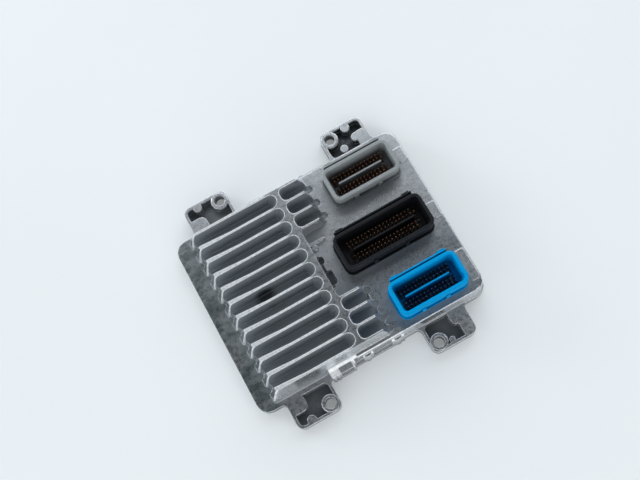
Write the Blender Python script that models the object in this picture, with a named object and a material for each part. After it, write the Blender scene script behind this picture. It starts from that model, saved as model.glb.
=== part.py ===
"""Engine control unit: a finned die-cast housing with three multi-pin headers.

X runs along the cooling fins, Y across them, Z up from the seat of the ears.
Sizes are in metres. The origin lies under the middle of the whole unit.
"""

import math

import bmesh
import bpy
from mathutils import Matrix, Vector

MM = 0.001

# Clearance kept between pieces that touch on the real unit
SEAT = 0.3 * MM

# Cooling fins on top of the housing
FIN_COUNT = 12
FIN_PITCH = 10.0 * MM
FIN_LAND = 1.5 * MM
FIN_EDGE = 0.4 * MM
FIN_HEIGHT = 26.0 * MM
CHANNEL_FLOOR = 13.0 * MM
CHANNEL_DRAFT = math.radians(5.0)
CHANNEL_FILLET = 0.9 * MM
CHANNEL_END_RUN = 4.5 * MM
FIN_FOOT_RUN = 5.2 * MM
SCOOP_DEPTH = 2.3 * MM
SPINE_WIDTH = 2.7 * MM
SPINE_LAND = 3.1 * MM
SPREAD_START = 27.0 * MM
SPREAD_FULL = 7.0 * MM
SPREAD_WIDTH = 1.3 * MM
POCKET_LENGTH = 17.4 * MM
POCKET_END_RUN = 1.2 * MM
POCKET_CORNER = 3.3 * MM
STUB_LENGTH = 14.2 * MM
STUB_END_RUN = 9.4 * MM
UPPER_POCKETS = 3
LOWER_POCKETS = 3

# Cast body under the fins
HOUSING_LENGTH = 159.0 * MM
HEADER_FIELD_LENGTH = 86.7 * MM
FAR_FOOT = 4.35 * MM
NEAR_FOOT = 6.75 * MM
NEAR_WALL_INSET = 1.5 * MM
FAR_WALL_INSET = 0.9 * MM
CORNER_RADIUS = 7.5 * MM
FLANGE_HEIGHT = 8.0 * MM
FLANGE_STRIP = 10.2 * MM
PLATEAU_HEIGHT = 15.5 * MM
PLATEAU_STEP = 0.6 * MM
PLATEAU_DRAFT = 1.5 * MM
PLATEAU_EDGE = 0.6 * MM
PLATEAU_END_STEP = 0.15 * MM
PLATEAU_END_DRAFT = 0.1 * MM
PAD_HEIGHT = 0.7 * MM
PAD_EDGE_GAP = 1.3 * MM
PAD_WIDTH = 5.6 * MM
DIP_RADIUS = 2.6 * MM
DIP_DEPTH = 2.1 * MM
DIP_STEP = 18.4 * MM
UPPER_DIP_SHIFT = -1.9 * MM
LOWER_DIP_SHIFT = 3.2 * MM
LAST_DIP_SHIFT = 0.6 * MM
GUTTER_DEPTH = 2.9 * MM
STUD_RADIUS = 2.2 * MM
STUD_RISE = 1.9 * MM
LOW_RIB_RISE = 2.3 * MM
LOW_RIB_LENGTH = 13.0 * MM
LOW_RIB_WIDTH = 3.0 * MM
ROOF = 2.7 * MM
CAVITY_INSET = 9.8 * MM
CAVITY_RADIUS = 4.0 * MM

# Screw columns and sunk panels on the long sides
APRON_HEIGHT = 11.8 * MM
APRON_LEDGE_RISE = 2.4 * MM
APRON_FOOT_PROUD = 0.9 * MM
APRON_TOP_INSET = 0.5 * MM
APRON_STEP = 1.6 * MM
PANEL_SILL = 1.9 * MM
PANEL_LINTEL = 0.4 * MM
PANEL_DEPTH = 0.55 * MM
COLUMN_RADIUS = 3.2 * MM
COLUMN_PROUD = 0.7 * MM
RIB_WIDTH = 1.1 * MM
RIB_PROUD = 0.6 * MM

# Mounting ears
EAR_LENGTH = 30.3 * MM
EAR_REACH = 18.9 * MM
EAR_TIP_RADIUS = 4.5 * MM
EAR_ROOT_RADIUS = 3.0 * MM
EAR_WALL = 1.8 * MM
EAR_FLOOR = 1.6 * MM
EAR_POCKET_ROOT = 0.2 * MM
BOLT_RADIUS = 3.5 * MM
BOLT_EDGE = 5.9 * MM
BOSS_RADIUS = 5.7 * MM
BOSS_PROUD = 0.5 * MM

# Base cover, seal and screws
COVER_THICKNESS = 1.5 * MM
RIM_WALL = 1.5 * MM
SEAL_INSET = 8.3 * MM
SEAL_WIDTH = 1.0 * MM
SEAL_HEIGHT = 1.0 * MM
SCREW_INSET = 4.9 * MM
CORNER_SCREW_INSET = 6.2 * MM
SCREW_RADIUS = 1.35 * MM
HEAD_RADIUS = 2.5 * MM
HEAD_HEIGHT = 1.8 * MM
DRIVE_RADIUS = 1.0 * MM
DRIVE_DEPTH = 0.8 * MM
COVER_SCREW_LENGTH = 6.2 * MM
BOARD_SCREW_LENGTH = 7.4 * MM

# Circuit board
BOARD_THICKNESS = 1.6 * MM
BOARD_HEIGHT = 5.0 * MM
BOARD_CLEARANCE = 0.5 * MM
BOARD_BOSS_RADIUS = 3.2 * MM

# Pin headers
PIN_PITCH = 2.54 * MM
PIN_WIDTH = 0.64 * MM
PIN_TIP_WIDTH = 0.36 * MM
PIN_TIP_DROP = 6.0 * MM
ROW_GAP = 6.35 * MM
HEADER_SPACING = 41.3 * MM
HEADER_MIDDLE_Y = -1.7 * MM
HEADER_EDGE_GAP = 9.3 * MM
END_ROOM = 5.0 * MM
HEADER_RISE = 15.5 * MM
HEADER_WALL = 2.4 * MM
HEADER_RADIUS = 4.6 * MM
HEADER_FLOOR_RISE = 3.0 * MM
HEADER_FLOOR_THICKNESS = 2.4 * MM
HEADER_TAPER = 1.4 * MM
HEADER_LEAD_IN = 0.6 * MM
RIM_EDGE = 0.5 * MM
NECK_HEIGHT = 3.4 * MM
NECK_INSET = 1.3 * MM
BASE_PROUD = 0.7 * MM
BASE_THICKNESS = 1.6 * MM
SKIRT_INSET = 3.0 * MM
SKIRT_WALL = 1.1 * MM
ROOM_RADIUS = 1.2 * MM
GASKET_THICKNESS = 0.8 * MM
GASKET_WIDTH = 1.9 * MM
BANK_MARGIN = 0.75 * MM
BANK_INNER_MARGIN = 1.9 * MM
BLADE_WIDTH = 1.0 * MM
BLADE_DROP = 4.0 * MM
BLADE_INSET = 1.4 * MM
RAIL_GAP = 1.0 * MM
RAIL_WALL = 1.0 * MM
RAIL_SHELF_DROP = 5.6 * MM
RAIL_SHELF_THICKNESS = 3.3 * MM
RAIL_TOP_DROP = 0.7 * MM
RAIL_INSET = 3.6 * MM
RAIL_STOP_WIDTH = 4.6 * MM
RAIL_STOP_PROUD = 0.9 * MM
GUIDE_WIDTH = 2.6 * MM
GUIDE_PROUD = 0.7 * MM
GUIDE_DROP = 5.5 * MM

# Places worked out from the sizes above
FIN_SPAN = (FIN_COUNT - 1) * FIN_PITCH + FIN_LAND
HALF_LENGTH = HOUSING_LENGTH / 2
HALF_WIDTH = (FIN_SPAN + FAR_FOOT + NEAR_FOOT) / 2
FIRST_FIN_Y = HALF_WIDTH - FAR_FOOT - FIN_LAND / 2
FIN_FOOT_X = -HALF_LENGTH + FLANGE_STRIP
CHANNEL_END_X = HALF_LENGTH - HEADER_FIELD_LENGTH
POCKET_START_X = CHANNEL_END_X + SPINE_WIDTH
SPINE_FACE_X = POCKET_START_X + 0.4 * MM
CAVITY_LEFT_X = FIN_FOOT_X + SCOOP_DEPTH + ROOF
CAVITY_RIGHT_X = HALF_LENGTH - CAVITY_INSET
CAVITY_HALF_WIDTH = HALF_WIDTH - CAVITY_INSET
CAVITY_CEILING = CHANNEL_FLOOR - ROOF
COVER_TOP = SEAT + COVER_THICKNESS
LEDGE_HEIGHT = COVER_TOP + SEAT
BOARD_TOP = BOARD_HEIGHT + BOARD_THICKNESS
PART_SEAT = BOARD_TOP + SEAT
EAR_TIP_Y = HALF_WIDTH + EAR_REACH
BOLT_Y = EAR_TIP_Y - BOLT_EDGE
HEADER_RIGHT_X = HALF_LENGTH - HEADER_EDGE_GAP
LAST_PIN_X = HEADER_RIGHT_X - HEADER_WALL - END_ROOM
HEADER_TOP = PLATEAU_HEIGHT + HEADER_RISE
HEADER_FLOOR = PLATEAU_HEIGHT + HEADER_FLOOR_RISE
PIN_TIP = HEADER_TOP - PIN_TIP_DROP
RAIL_SHELF = HEADER_TOP - RAIL_SHELF_DROP
RAIL_TOP = HEADER_TOP - RAIL_TOP_DROP
GASKET_BOTTOM = PLATEAU_HEIGHT + SEAT
BASE_BOTTOM = GASKET_BOTTOM + GASKET_THICKNESS + SEAT
SCREW_HOLE_RADIUS = SCREW_RADIUS + SEAT

# Each header: name, pin columns, place from the middle one, room left of and beside the pins, pins left out
HEADERS = (
    {"name": "grey", "columns": 14, "place": 1, "left_room": 3.58 * MM, "side_room": 3.2 * MM, "gaps": ()},
    {"name": "black", "columns": 19, "place": 0, "left_room": 5.68 * MM, "side_room": 3.95 * MM,
     "gaps": ((18, 3), (0, 0), (18, 0))},
    {"name": "blue", "columns": 14, "place": -1, "left_room": 3.58 * MM, "side_room": 3.2 * MM, "gaps": ()},
)

# Each ear: end of the body it is measured from, bolt's distance from that end, side, way it runs from the
# bolt, solid pads as (distance from the bolt, distance out of the body, radius), reach of its solid part out
# of the body, and its finger as (distance from the bolt, low and high distance out of the body)
EARS = (
    {"end": -1, "inset": 40.2 * MM, "side": 1, "way": -1, "corner": 9.4 * MM, "finger": (13.0 * MM, -2.0 * MM, 9.4 * MM),
     "pads": ((14.7 * MM, 16.2 * MM, 3.0 * MM),)},
    {"end": 1, "inset": 37.2 * MM, "side": 1, "way": 1, "corner": 10.0 * MM, "finger": (12.9 * MM, 4.0 * MM, 9.7 * MM),
     "pads": ((12.8 * MM, 15.6 * MM, 3.0 * MM), (5.6 * MM, 3.2 * MM, 2.6 * MM))},
    {"end": 1, "inset": 42.6 * MM, "side": -1, "way": 1, "corner": 20.4 * MM, "finger": (12.6 * MM, -2.0 * MM, 9.0 * MM),
     "pads": ((7.9 * MM, 15.6 * MM, 2.0 * MM),)},
    {"end": -1, "inset": 40.2 * MM, "side": -1, "way": -1, "corner": 9.4 * MM, "finger": (13.0 * MM, -2.0 * MM, 9.4 * MM),
     "pads": ((14.7 * MM, 16.2 * MM, 3.0 * MM),)},
)
SOLID_START = 16.2 * MM
SOLID_RADIUS = 2.4 * MM
FINGER_RADIUS = 3.6 * MM

# The side skirts, measured along X from the channels' ends: whole span, end of the thicker part,
# sunk panels as (low X, high X, on the thicker part), round columns, and thin ribs on the thicker part
NEAR_APRON = {
    "span": (-24.0 * MM, 27.4 * MM), "step_end": -7.9 * MM, "columns": (2.0 * MM, 23.0 * MM),
    "panels": ((-17.8 * MM, -9.0 * MM, 1), (-7.0 * MM, -1.0 * MM, 0), (5.6 * MM, 19.0 * MM, 0)),
    "ribs": (-22.4 * MM, -19.6 * MM),
}
FAR_APRON = {
    "span": (-20.8 * MM, 37.2 * MM), "step_end": -7.9 * MM, "columns": (2.0 * MM, 21.0 * MM),
    "panels": ((-18.4 * MM, -9.0 * MM, 1), (-7.0 * MM, -1.6 * MM, 0), (5.6 * MM, 17.0 * MM, 0), (24.8 * MM, 35.6 * MM, 0)),
    "ribs": (),
}

# Sunk gutters beside the spine as low Y, high Y and width, the stud and the blank pads
TRENCH = (-15.0 * MM, 8.2 * MM, 2.8 * MM)
GUTTERS = ((-13.2 * MM, -2.6 * MM, 5.3 * MM), (2.0 * MM, 7.6 * MM, 4.4 * MM))
STUD_STEP = 3.0 * MM
STUD_Y = 13.4 * MM
PADS = ((35.0 * MM, 45.2 * MM), (-7.3 * MM, 3.5 * MM), (-53.0 * MM, -31.8 * MM))

# Places of the screws through the board, from the walls round it and midway between the headers
SCREW_WALL_GAP = 6.0 * MM
MIDDLE_SCREW_STEP = 21.2 * MM
RIGHT_SCREW_STEP = 6.7 * MM
LEFT_SCREW_X = CAVITY_LEFT_X + SCREW_WALL_GAP
INNER_SCREW_X = CHANNEL_END_X + MIDDLE_SCREW_STEP
RIGHT_SCREW_X = CAVITY_RIGHT_X - RIGHT_SCREW_STEP
SCREW_Y = CAVITY_HALF_WIDTH - SCREW_WALL_GAP
BOARD_SCREWS = (
    (LEFT_SCREW_X, SCREW_Y), (LEFT_SCREW_X, -SCREW_Y), (INNER_SCREW_X, SCREW_Y), (INNER_SCREW_X, -SCREW_Y),
    (RIGHT_SCREW_X, HEADER_MIDDLE_Y + HEADER_SPACING / 2), (RIGHT_SCREW_X, HEADER_MIDDLE_Y - HEADER_SPACING / 2),
)

# Parts on the board, along X from the channels' ends or from the left wall
PART_GAP = 2.5 * MM
CHIP_HEIGHT = 2.0 * MM
MCU_SIZE = 27.0 * MM
MCU_STEP = 4.2 * MM
MCU_Y = 2.0 * MM
FLASH_LENGTH = 18.0 * MM
FLASH_WIDTH = 12.0 * MM
FLASH_HEIGHT = 1.2 * MM
CRYSTAL_LENGTH = 11.0 * MM
CRYSTAL_WIDTH = 4.5 * MM
CRYSTAL_HEIGHT = 3.0 * MM
COIL_SIZE = 8.0 * MM
COIL_HEIGHT = 2.8 * MM
COIL_STEPS = (-4.8 * MM, 6.2 * MM)
CAPACITOR_RADIUS = 4.0 * MM
CAPACITOR_HEIGHT = 2.9 * MM
CAPACITOR_GAP = 8.5 * MM
HOT_STEP = 9.6 * MM
HOT_GAP = 11.0 * MM
HOT_SPACE = 4.5 * MM
PAD_INSET = 1.2 * MM
HOT_PARTS = (
    ("voltage_regulator", 10.0 * MM, 9.0 * MM), ("injector_driver_1", 16.0 * MM, 11.0 * MM),
    ("injector_driver_2", 16.0 * MM, 11.0 * MM), ("ignition_driver", 16.0 * MM, 11.0 * MM),
    ("throttle_driver", 16.0 * MM, 11.0 * MM),
)

ROUND_STEPS = 12
SCREW_STEPS = 8
HOLE_STEPS = 16
CORNER_STEPS = 3


def material(name, colour, roughness, metallic):
    """Returns a Principled material with one plain finish."""
    made = bpy.data.materials.new(name)
    made.use_nodes = True
    shader = made.node_tree.nodes["Principled BSDF"]
    shader.inputs["Base Color"].default_value = (*colour, 1.0)
    shader.inputs["Roughness"].default_value = roughness
    shader.inputs["Metallic"].default_value = metallic
    return made


def make_object(name, build):
    """Links a new object whose mesh the given function fills."""
    mesh = bpy.data.meshes.new(name)
    cage = bmesh.new()
    build(cage)
    bmesh.ops.recalc_face_normals(cage, faces=cage.faces[:])
    cage.to_mesh(mesh)
    cage.free()
    made = bpy.data.objects.new(name, mesh)
    bpy.context.scene.collection.objects.link(made)
    return made


def add_loft(cage, rings):
    """Adds one closed body through rings of equal length, each a list of points."""
    loops = [[cage.verts.new(point) for point in ring] for ring in rings]
    for lower, upper in zip(loops, loops[1:]):
        for index in range(len(lower)):
            after = (index + 1) % len(lower)
            cage.faces.new((lower[index], lower[after], upper[after], upper[index]))
    cage.faces.new(tuple(reversed(loops[0])))
    cage.faces.new(tuple(loops[-1]))


def loft(name, rings):
    """Returns an object holding one lofted body."""
    return make_object(name, lambda cage: add_loft(cage, rings))


def lofts(name, bodies):
    """Returns one object holding several lofted bodies that don't meet."""
    def build(cage):
        for rings in bodies:
            add_loft(cage, rings)
    return make_object(name, build)


def at_height(outline, height):
    """Lifts a flat outline to a height."""
    return [Vector((x, y, height)) for x, y in outline]


def prism(outline, low, high):
    """Returns the two rings of an upright extrusion."""
    return [at_height(outline, low), at_height(outline, high)]


def rectangle(x0, x1, y0, y1):
    """Returns the four corners of a rectangle, anticlockwise."""
    return [(x0, y0), (x1, y0), (x1, y1), (x0, y1)]


def circle(x, y, radius, steps=ROUND_STEPS):
    """Returns a round outline."""
    turns = [2 * math.pi * step / steps for step in range(steps)]
    return [(x + radius * math.cos(turn), y + radius * math.sin(turn)) for turn in turns]


def fillet(corners, radii, steps=CORNER_STEPS):
    """Rounds the corners of an outline, each radius limited by its two sides."""
    rounded = []
    for index, (x, y) in enumerate(corners):
        here = Vector((x, y))
        before = Vector(corners[index - 1]) - here
        after = Vector(corners[(index + 1) % len(corners)]) - here
        half_angle = before.angle(after) / 2
        radius = radii[index] if isinstance(radii, (list, tuple)) else radii
        reach = min(radius / math.tan(half_angle), 0.49 * before.length, 0.49 * after.length)
        if reach <= 0:
            rounded.append((x, y))
            continue
        radius = reach * math.tan(half_angle)
        centre = here + (before.normalized() + after.normalized()).normalized() * radius / math.sin(half_angle)
        start = here + before.normalized() * reach - centre
        end = here + after.normalized() * reach - centre
        sweep = start.angle_signed(end)
        for step in range(steps + 1):
            turned = start.copy()
            turned.rotate(Matrix.Rotation(-sweep * step / steps, 2))
            rounded.append((centre.x + turned.x, centre.y + turned.y))
    return rounded


def bake(target):
    """Replaces a mesh by its modified self."""
    graph = bpy.context.evaluated_depsgraph_get()
    mesh = bpy.data.meshes.new_from_object(target.evaluated_get(graph))
    target.modifiers.clear()
    target.data = mesh


def combine(target, tool, operation):
    """Runs one Boolean step and removes its tool."""
    step = target.modifiers.new(operation.title(), "BOOLEAN")
    step.operation = operation
    step.solver = "EXACT"
    step.object = tool
    bake(target)
    bpy.data.objects.remove(tool)


def cut(target, tool):
    """Takes a tool's volume out of a piece."""
    combine(target, tool, "DIFFERENCE")


def join(target, tool):
    """Adds a tool's volume to a piece."""
    combine(target, tool, "UNION")


def finish(piece, name, surface, angle=35.0):
    """Names, colours and smooths a finished piece."""
    piece.name = name
    piece.data.name = name
    piece.data.materials.clear()
    piece.data.materials.append(surface)
    piece.data.shade_smooth()
    piece.data.set_sharp_from_angle(angle=math.radians(angle))
    return piece


def fin_y(index):
    """Returns the middle of a fin, counted from the far side."""
    return FIRST_FIN_Y - index * FIN_PITCH


def blend(at_base, at_top, height):
    """Returns a value between the underside and the fin tops."""
    return at_base + (at_top - at_base) * height / FIN_HEIGHT


def far_wall(height):
    """Returns the far side wall's place at a height."""
    return blend(HALF_WIDTH - FAR_WALL_INSET, HALF_WIDTH - FAR_FOOT, height)


def near_wall(height):
    """Returns the near side wall's place at a height."""
    return blend(-HALF_WIDTH + NEAR_WALL_INSET, -HALF_WIDTH + NEAR_FOOT, height)


def flange_outline():
    """Returns the outline of the flange with its four ears."""
    corners = [(-HALF_LENGTH, -HALF_WIDTH)]
    radii = [CORNER_RADIUS]
    near = sorted((ear for ear in EARS if ear["side"] < 0), key=bolt_x)
    far = sorted((ear for ear in EARS if ear["side"] > 0), key=bolt_x, reverse=True)
    ear_radii = [EAR_ROOT_RADIUS, EAR_TIP_RADIUS, EAR_TIP_RADIUS, EAR_ROOT_RADIUS]
    for ear in near:
        low, high = ear_span(ear)
        corners += [(low, -HALF_WIDTH), (low, -EAR_TIP_Y), (high, -EAR_TIP_Y), (high, -HALF_WIDTH)]
        radii += ear_radii
    corners += [(HALF_LENGTH, -HALF_WIDTH), (HALF_LENGTH, HALF_WIDTH)]
    radii += [CORNER_RADIUS, CORNER_RADIUS]
    for ear in far:
        low, high = ear_span(ear)
        corners += [(high, HALF_WIDTH), (high, EAR_TIP_Y), (low, EAR_TIP_Y), (low, HALF_WIDTH)]
        radii += ear_radii
    corners.append((-HALF_LENGTH, HALF_WIDTH))
    radii.append(CORNER_RADIUS)
    return fillet(corners, radii)


def bolt_x(ear):
    """Returns the place of an ear's bolt along X."""
    return ear["end"] * (HALF_LENGTH - ear["inset"])


def ear_span(ear):
    """Returns an ear's two sides along X."""
    bolt_side = bolt_x(ear) - ear["way"] * BOLT_EDGE
    other_side = bolt_side + ear["way"] * EAR_LENGTH
    return min(bolt_side, other_side), max(bolt_side, other_side)


def plateau_rings():
    """Returns the rings of the raised half that carries the headers."""
    rings = []
    levels = (
        (FLANGE_HEIGHT / 2, 0.0, 0.0),
        (FLANGE_HEIGHT, 0.0, 0.0),
        (PLATEAU_HEIGHT - PLATEAU_EDGE, PLATEAU_DRAFT, PLATEAU_END_DRAFT),
        (PLATEAU_HEIGHT, PLATEAU_DRAFT + PLATEAU_EDGE, PLATEAU_END_DRAFT + PLATEAU_EDGE),
    )
    for height, side_inset, end_inset in levels:
        outline = rectangle(
            CHANNEL_END_X - CHANNEL_END_RUN,
            HALF_LENGTH - PLATEAU_END_STEP - end_inset,
            -HALF_WIDTH + PLATEAU_STEP + side_inset,
            HALF_WIDTH - PLATEAU_STEP - side_inset,
        )
        rings.append(at_height(fillet(outline, [0, CORNER_RADIUS, CORNER_RADIUS, 0]), height))
    return rings


def fin_block_outline(height):
    """Returns the outline of the finned block at a height, with its bay for the middle header."""
    rise = (FIN_HEIGHT - height) / FIN_HEIGHT
    left = FIN_FOOT_X + FIN_FOOT_RUN * (height - FLANGE_HEIGHT) / (FIN_HEIGHT - FLANGE_HEIGHT)
    right = POCKET_START_X + STUB_LENGTH + STUB_END_RUN * rise
    lean = math.tan(CHANNEL_DRAFT) * (FIN_HEIGHT - height)
    upper_bay = fin_y(UPPER_POCKETS) - FIN_LAND / 2 - lean
    lower_bay = fin_y(FIN_COUNT - 1 - LOWER_POCKETS) + FIN_LAND / 2 + lean
    spine = SPINE_FACE_X + lean
    near = near_wall(height)
    far = far_wall(height)
    corners = [
        (left, near), (right, near), (right, lower_bay), (spine, lower_bay),
        (spine, upper_bay), (right, upper_bay), (right, far), (left, far),
    ]
    radii = [1.5 * MM, 1.5 * MM, FIN_LAND / 2, CHANNEL_FILLET * 2, CHANNEL_FILLET * 2, FIN_LAND / 2, 1.5 * MM, 1.5 * MM]
    return fillet(corners, radii, steps=2)


def channel_levels():
    """Returns height and half width pairs of a channel, from its floor up past the fin tips."""
    gap = (FIN_PITCH - FIN_LAND) / 2
    narrowing = math.tan(CHANNEL_DRAFT) * (FIN_HEIGHT - CHANNEL_FLOOR)
    over = 0.3 * MM
    return (
        (CHANNEL_FLOOR, gap - narrowing - CHANNEL_FILLET / 2),
        (CHANNEL_FLOOR + CHANNEL_FILLET, gap - narrowing),
        (FIN_HEIGHT - FIN_EDGE, gap),
        (FIN_HEIGHT + over, gap + FIN_EDGE + over),
    )


def channel_rings(y):
    """Returns the cutter of one long channel: open at its foot, round at the spine."""
    rings = []
    for height, half in channel_levels():
        share = (FIN_HEIGHT - height) / (FIN_HEIGHT - CHANNEL_FLOOR)
        tip = CHANNEL_END_X - CHANNEL_END_RUN * share
        start = FIN_FOOT_X - SCOOP_DEPTH
        spread = SPREAD_WIDTH * max(0.0, 1.0 - 2.2 * share)
        outline = bullet(start, tip, y, half)
        outline[0] = (start, y - half + spread)
        outline.insert(1, (FIN_FOOT_X + SPREAD_FULL, y - half + spread))
        outline.insert(2, (FIN_FOOT_X + SPREAD_START, y - half))
        rings.append(at_height(outline, height))
    return rings


def bullet(start, tip, y, half, steps=6):
    """Returns an outline with a square start and a half-round tip."""
    turns = [math.pi * (step / steps - 0.5) for step in range(steps + 1)]
    arc = [(tip - half + half * math.cos(turn), y + half * math.sin(turn)) for turn in turns]
    return [(start, y - half)] + arc + [(start, y + half)]


def pocket_rings(y):
    """Returns the cutter of one short channel, a long hollow with round corners."""
    rings = []
    for height, half in channel_levels():
        share = (FIN_HEIGHT - height) / (FIN_HEIGHT - CHANNEL_FLOOR)
        start = POCKET_START_X + POCKET_END_RUN * share
        end = POCKET_START_X + POCKET_LENGTH + POCKET_END_RUN * (1 - share)
        outline = rectangle(start, end, y - half, y + half)
        corner = min(POCKET_CORNER, 0.9 * half)
        rings.append(at_height(fillet(outline, [corner, corner / 2, corner / 2, corner], steps=3), height))
    return rings


def dip_rings(y):
    """Returns the cutter of one round hollow beyond the short fins' ends."""
    x = POCKET_START_X + DIP_STEP
    return [
        at_height(circle(x, y, DIP_RADIUS * 0.7), PLATEAU_HEIGHT - DIP_DEPTH),
        at_height(circle(x, y, DIP_RADIUS * 0.92), PLATEAU_HEIGHT - DIP_DEPTH + CHANNEL_FILLET),
        at_height(circle(x, y, DIP_RADIUS * 1.08), PLATEAU_HEIGHT + 2 * MM),
    ]


def add_bay_details(housing):
    """Adds what stands and sinks between the spine and the middle header, and the blank pads."""
    rib_y = (fin_y(UPPER_POCKETS) + fin_y(UPPER_POCKETS + 1)) / 2 - FIN_PITCH / 2
    start = SPINE_FACE_X - MM
    end = start + LOW_RIB_LENGTH
    rib = [at_height(bullet(start, end, rib_y, LOW_RIB_WIDTH / 2, steps=4), PLATEAU_HEIGHT - MM),
           at_height(bullet(start, end - MM, rib_y, LOW_RIB_WIDTH / 3, steps=4), PLATEAU_HEIGHT + LOW_RIB_RISE)]
    join(housing, loft("low_rib", rib))
    cut(housing, loft("trench", gutter_rings(SPINE_FACE_X - 0.25 * MM, *TRENCH, GUTTER_DEPTH - 0.6 * MM)))
    cut(housing, lofts("gutters", [gutter_rings(SPINE_FACE_X, *gutter, GUTTER_DEPTH) for gutter in GUTTERS]))
    x = SPINE_FACE_X + STUD_STEP
    top = PLATEAU_HEIGHT + STUD_RISE
    stud = [at_height(circle(x, STUD_Y, STUD_RADIUS * 1.15), PLATEAU_HEIGHT - MM),
            at_height(circle(x, STUD_Y, STUD_RADIUS), top - 0.5 * MM),
            at_height(circle(x, STUD_Y, STUD_RADIUS - 0.5 * MM), top)]
    join(housing, loft("stud", stud))
    pads = []
    right = HALF_LENGTH - PAD_EDGE_GAP
    for low_y, high_y in PADS:
        outline = fillet(rectangle(right - PAD_WIDTH, right, low_y, high_y), 0.8 * MM, steps=1)
        pads.append(prism(outline, PLATEAU_HEIGHT - MM, PLATEAU_HEIGHT + PAD_HEIGHT))
    join(housing, lofts("pads", pads))


def gutter_rings(start, low_y, high_y, width, depth):
    """Returns the cutter of one hollow along the spine's foot."""
    upper = rectangle(start, start + width, low_y, high_y)
    lower = rectangle(start + 0.4 * MM, start + width - 0.6 * MM, low_y + 0.6 * MM, high_y - 0.6 * MM)
    return [
        at_height(fillet(lower, width * 0.3, steps=3), PLATEAU_HEIGHT - depth),
        at_height(fillet(upper, width * 0.42, steps=3), PLATEAU_HEIGHT + 0.8 * MM),
    ]


def scoop_rings(y):
    """Returns the cutter that rounds the wall between two fin feet."""
    half = channel_levels()[0][1]
    low = FLANGE_HEIGHT
    high = CHANNEL_FLOOR + CHANNEL_FILLET
    run = FIN_FOOT_RUN * (high - low) / (FIN_HEIGHT - FLANGE_HEIGHT)
    start = FIN_FOOT_X - SCOOP_DEPTH
    return [
        at_height(bullet(start, FIN_FOOT_X + SCOOP_DEPTH, y, half, steps=4), low),
        at_height(bullet(start, FIN_FOOT_X + SCOOP_DEPTH + run, y, half, steps=4), high),
    ]


def apron_face(proud, height):
    """Returns a skirt face's distance from the unit's middle line at a height."""
    foot = HALF_WIDTH + APRON_FOOT_PROUD
    top = HALF_WIDTH - APRON_TOP_INSET
    return foot + (top - foot) * height / APRON_HEIGHT + proud


def add_side_apron(housing, side, wall, apron):
    """Adds the thick skirt of a long side with its step, ribs and columns, and sinks its panels."""
    inside = HALF_WIDTH - CAVITY_INSET / 2

    def bar(left, right, low_y, high_y):
        y0, y1 = sorted((side * low_y, side * high_y))
        return rectangle(CHANNEL_END_X + left, CHANNEL_END_X + right, y0, y1)

    def skirt(left, right, proud, low, drop):
        high = APRON_HEIGHT - drop
        ledge = high + APRON_LEDGE_RISE
        return [
            at_height(bar(left, right, inside, apron_face(proud, 0.0)), low),
            at_height(bar(left, right, inside, apron_face(proud, high)), high),
            at_height(bar(left, right, inside, abs(wall(ledge)) - drop), ledge),
        ]

    start, end = apron["span"]
    join(housing, loft("apron", skirt(start, end, 0.0, -MM, 0.0)))
    step_end = apron["step_end"]
    join(housing, loft("step", skirt(start + 0.2 * MM, step_end, APRON_STEP, -1.2 * MM, 0.3 * MM)))
    thin = [(x, APRON_STEP + RIB_PROUD) for x in apron["ribs"]]
    if thin:
        ribs = [skirt(x - RIB_WIDTH / 2, x + RIB_WIDTH / 2, proud, -1.4 * MM, 0.6 * MM) for x, proud in thin]
        join(housing, lofts("ribs", ribs))
    sunk = []
    for left, right, thick in apron["panels"]:
        rings = []
        for height in (PANEL_SILL, APRON_HEIGHT - PANEL_LINTEL):
            face = apron_face(thick * APRON_STEP, height)
            rings.append(at_height(bar(left, right, face - PANEL_DEPTH, face + 2 * PANEL_DEPTH), height))
        sunk.append(rings)
    cut(housing, lofts("panels", sunk))
    shafts = []
    for step in apron["columns"]:
        x = CHANNEL_END_X + step
        shafts.append([
            at_height(circle(x, side * (apron_face(COLUMN_PROUD, height) - COLUMN_RADIUS), COLUMN_RADIUS), low)
            for height, low in ((0.0, -1.6 * MM), (APRON_HEIGHT, APRON_HEIGHT + 0.6 * MM))
        ])
    join(housing, lofts("columns", shafts))


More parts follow.
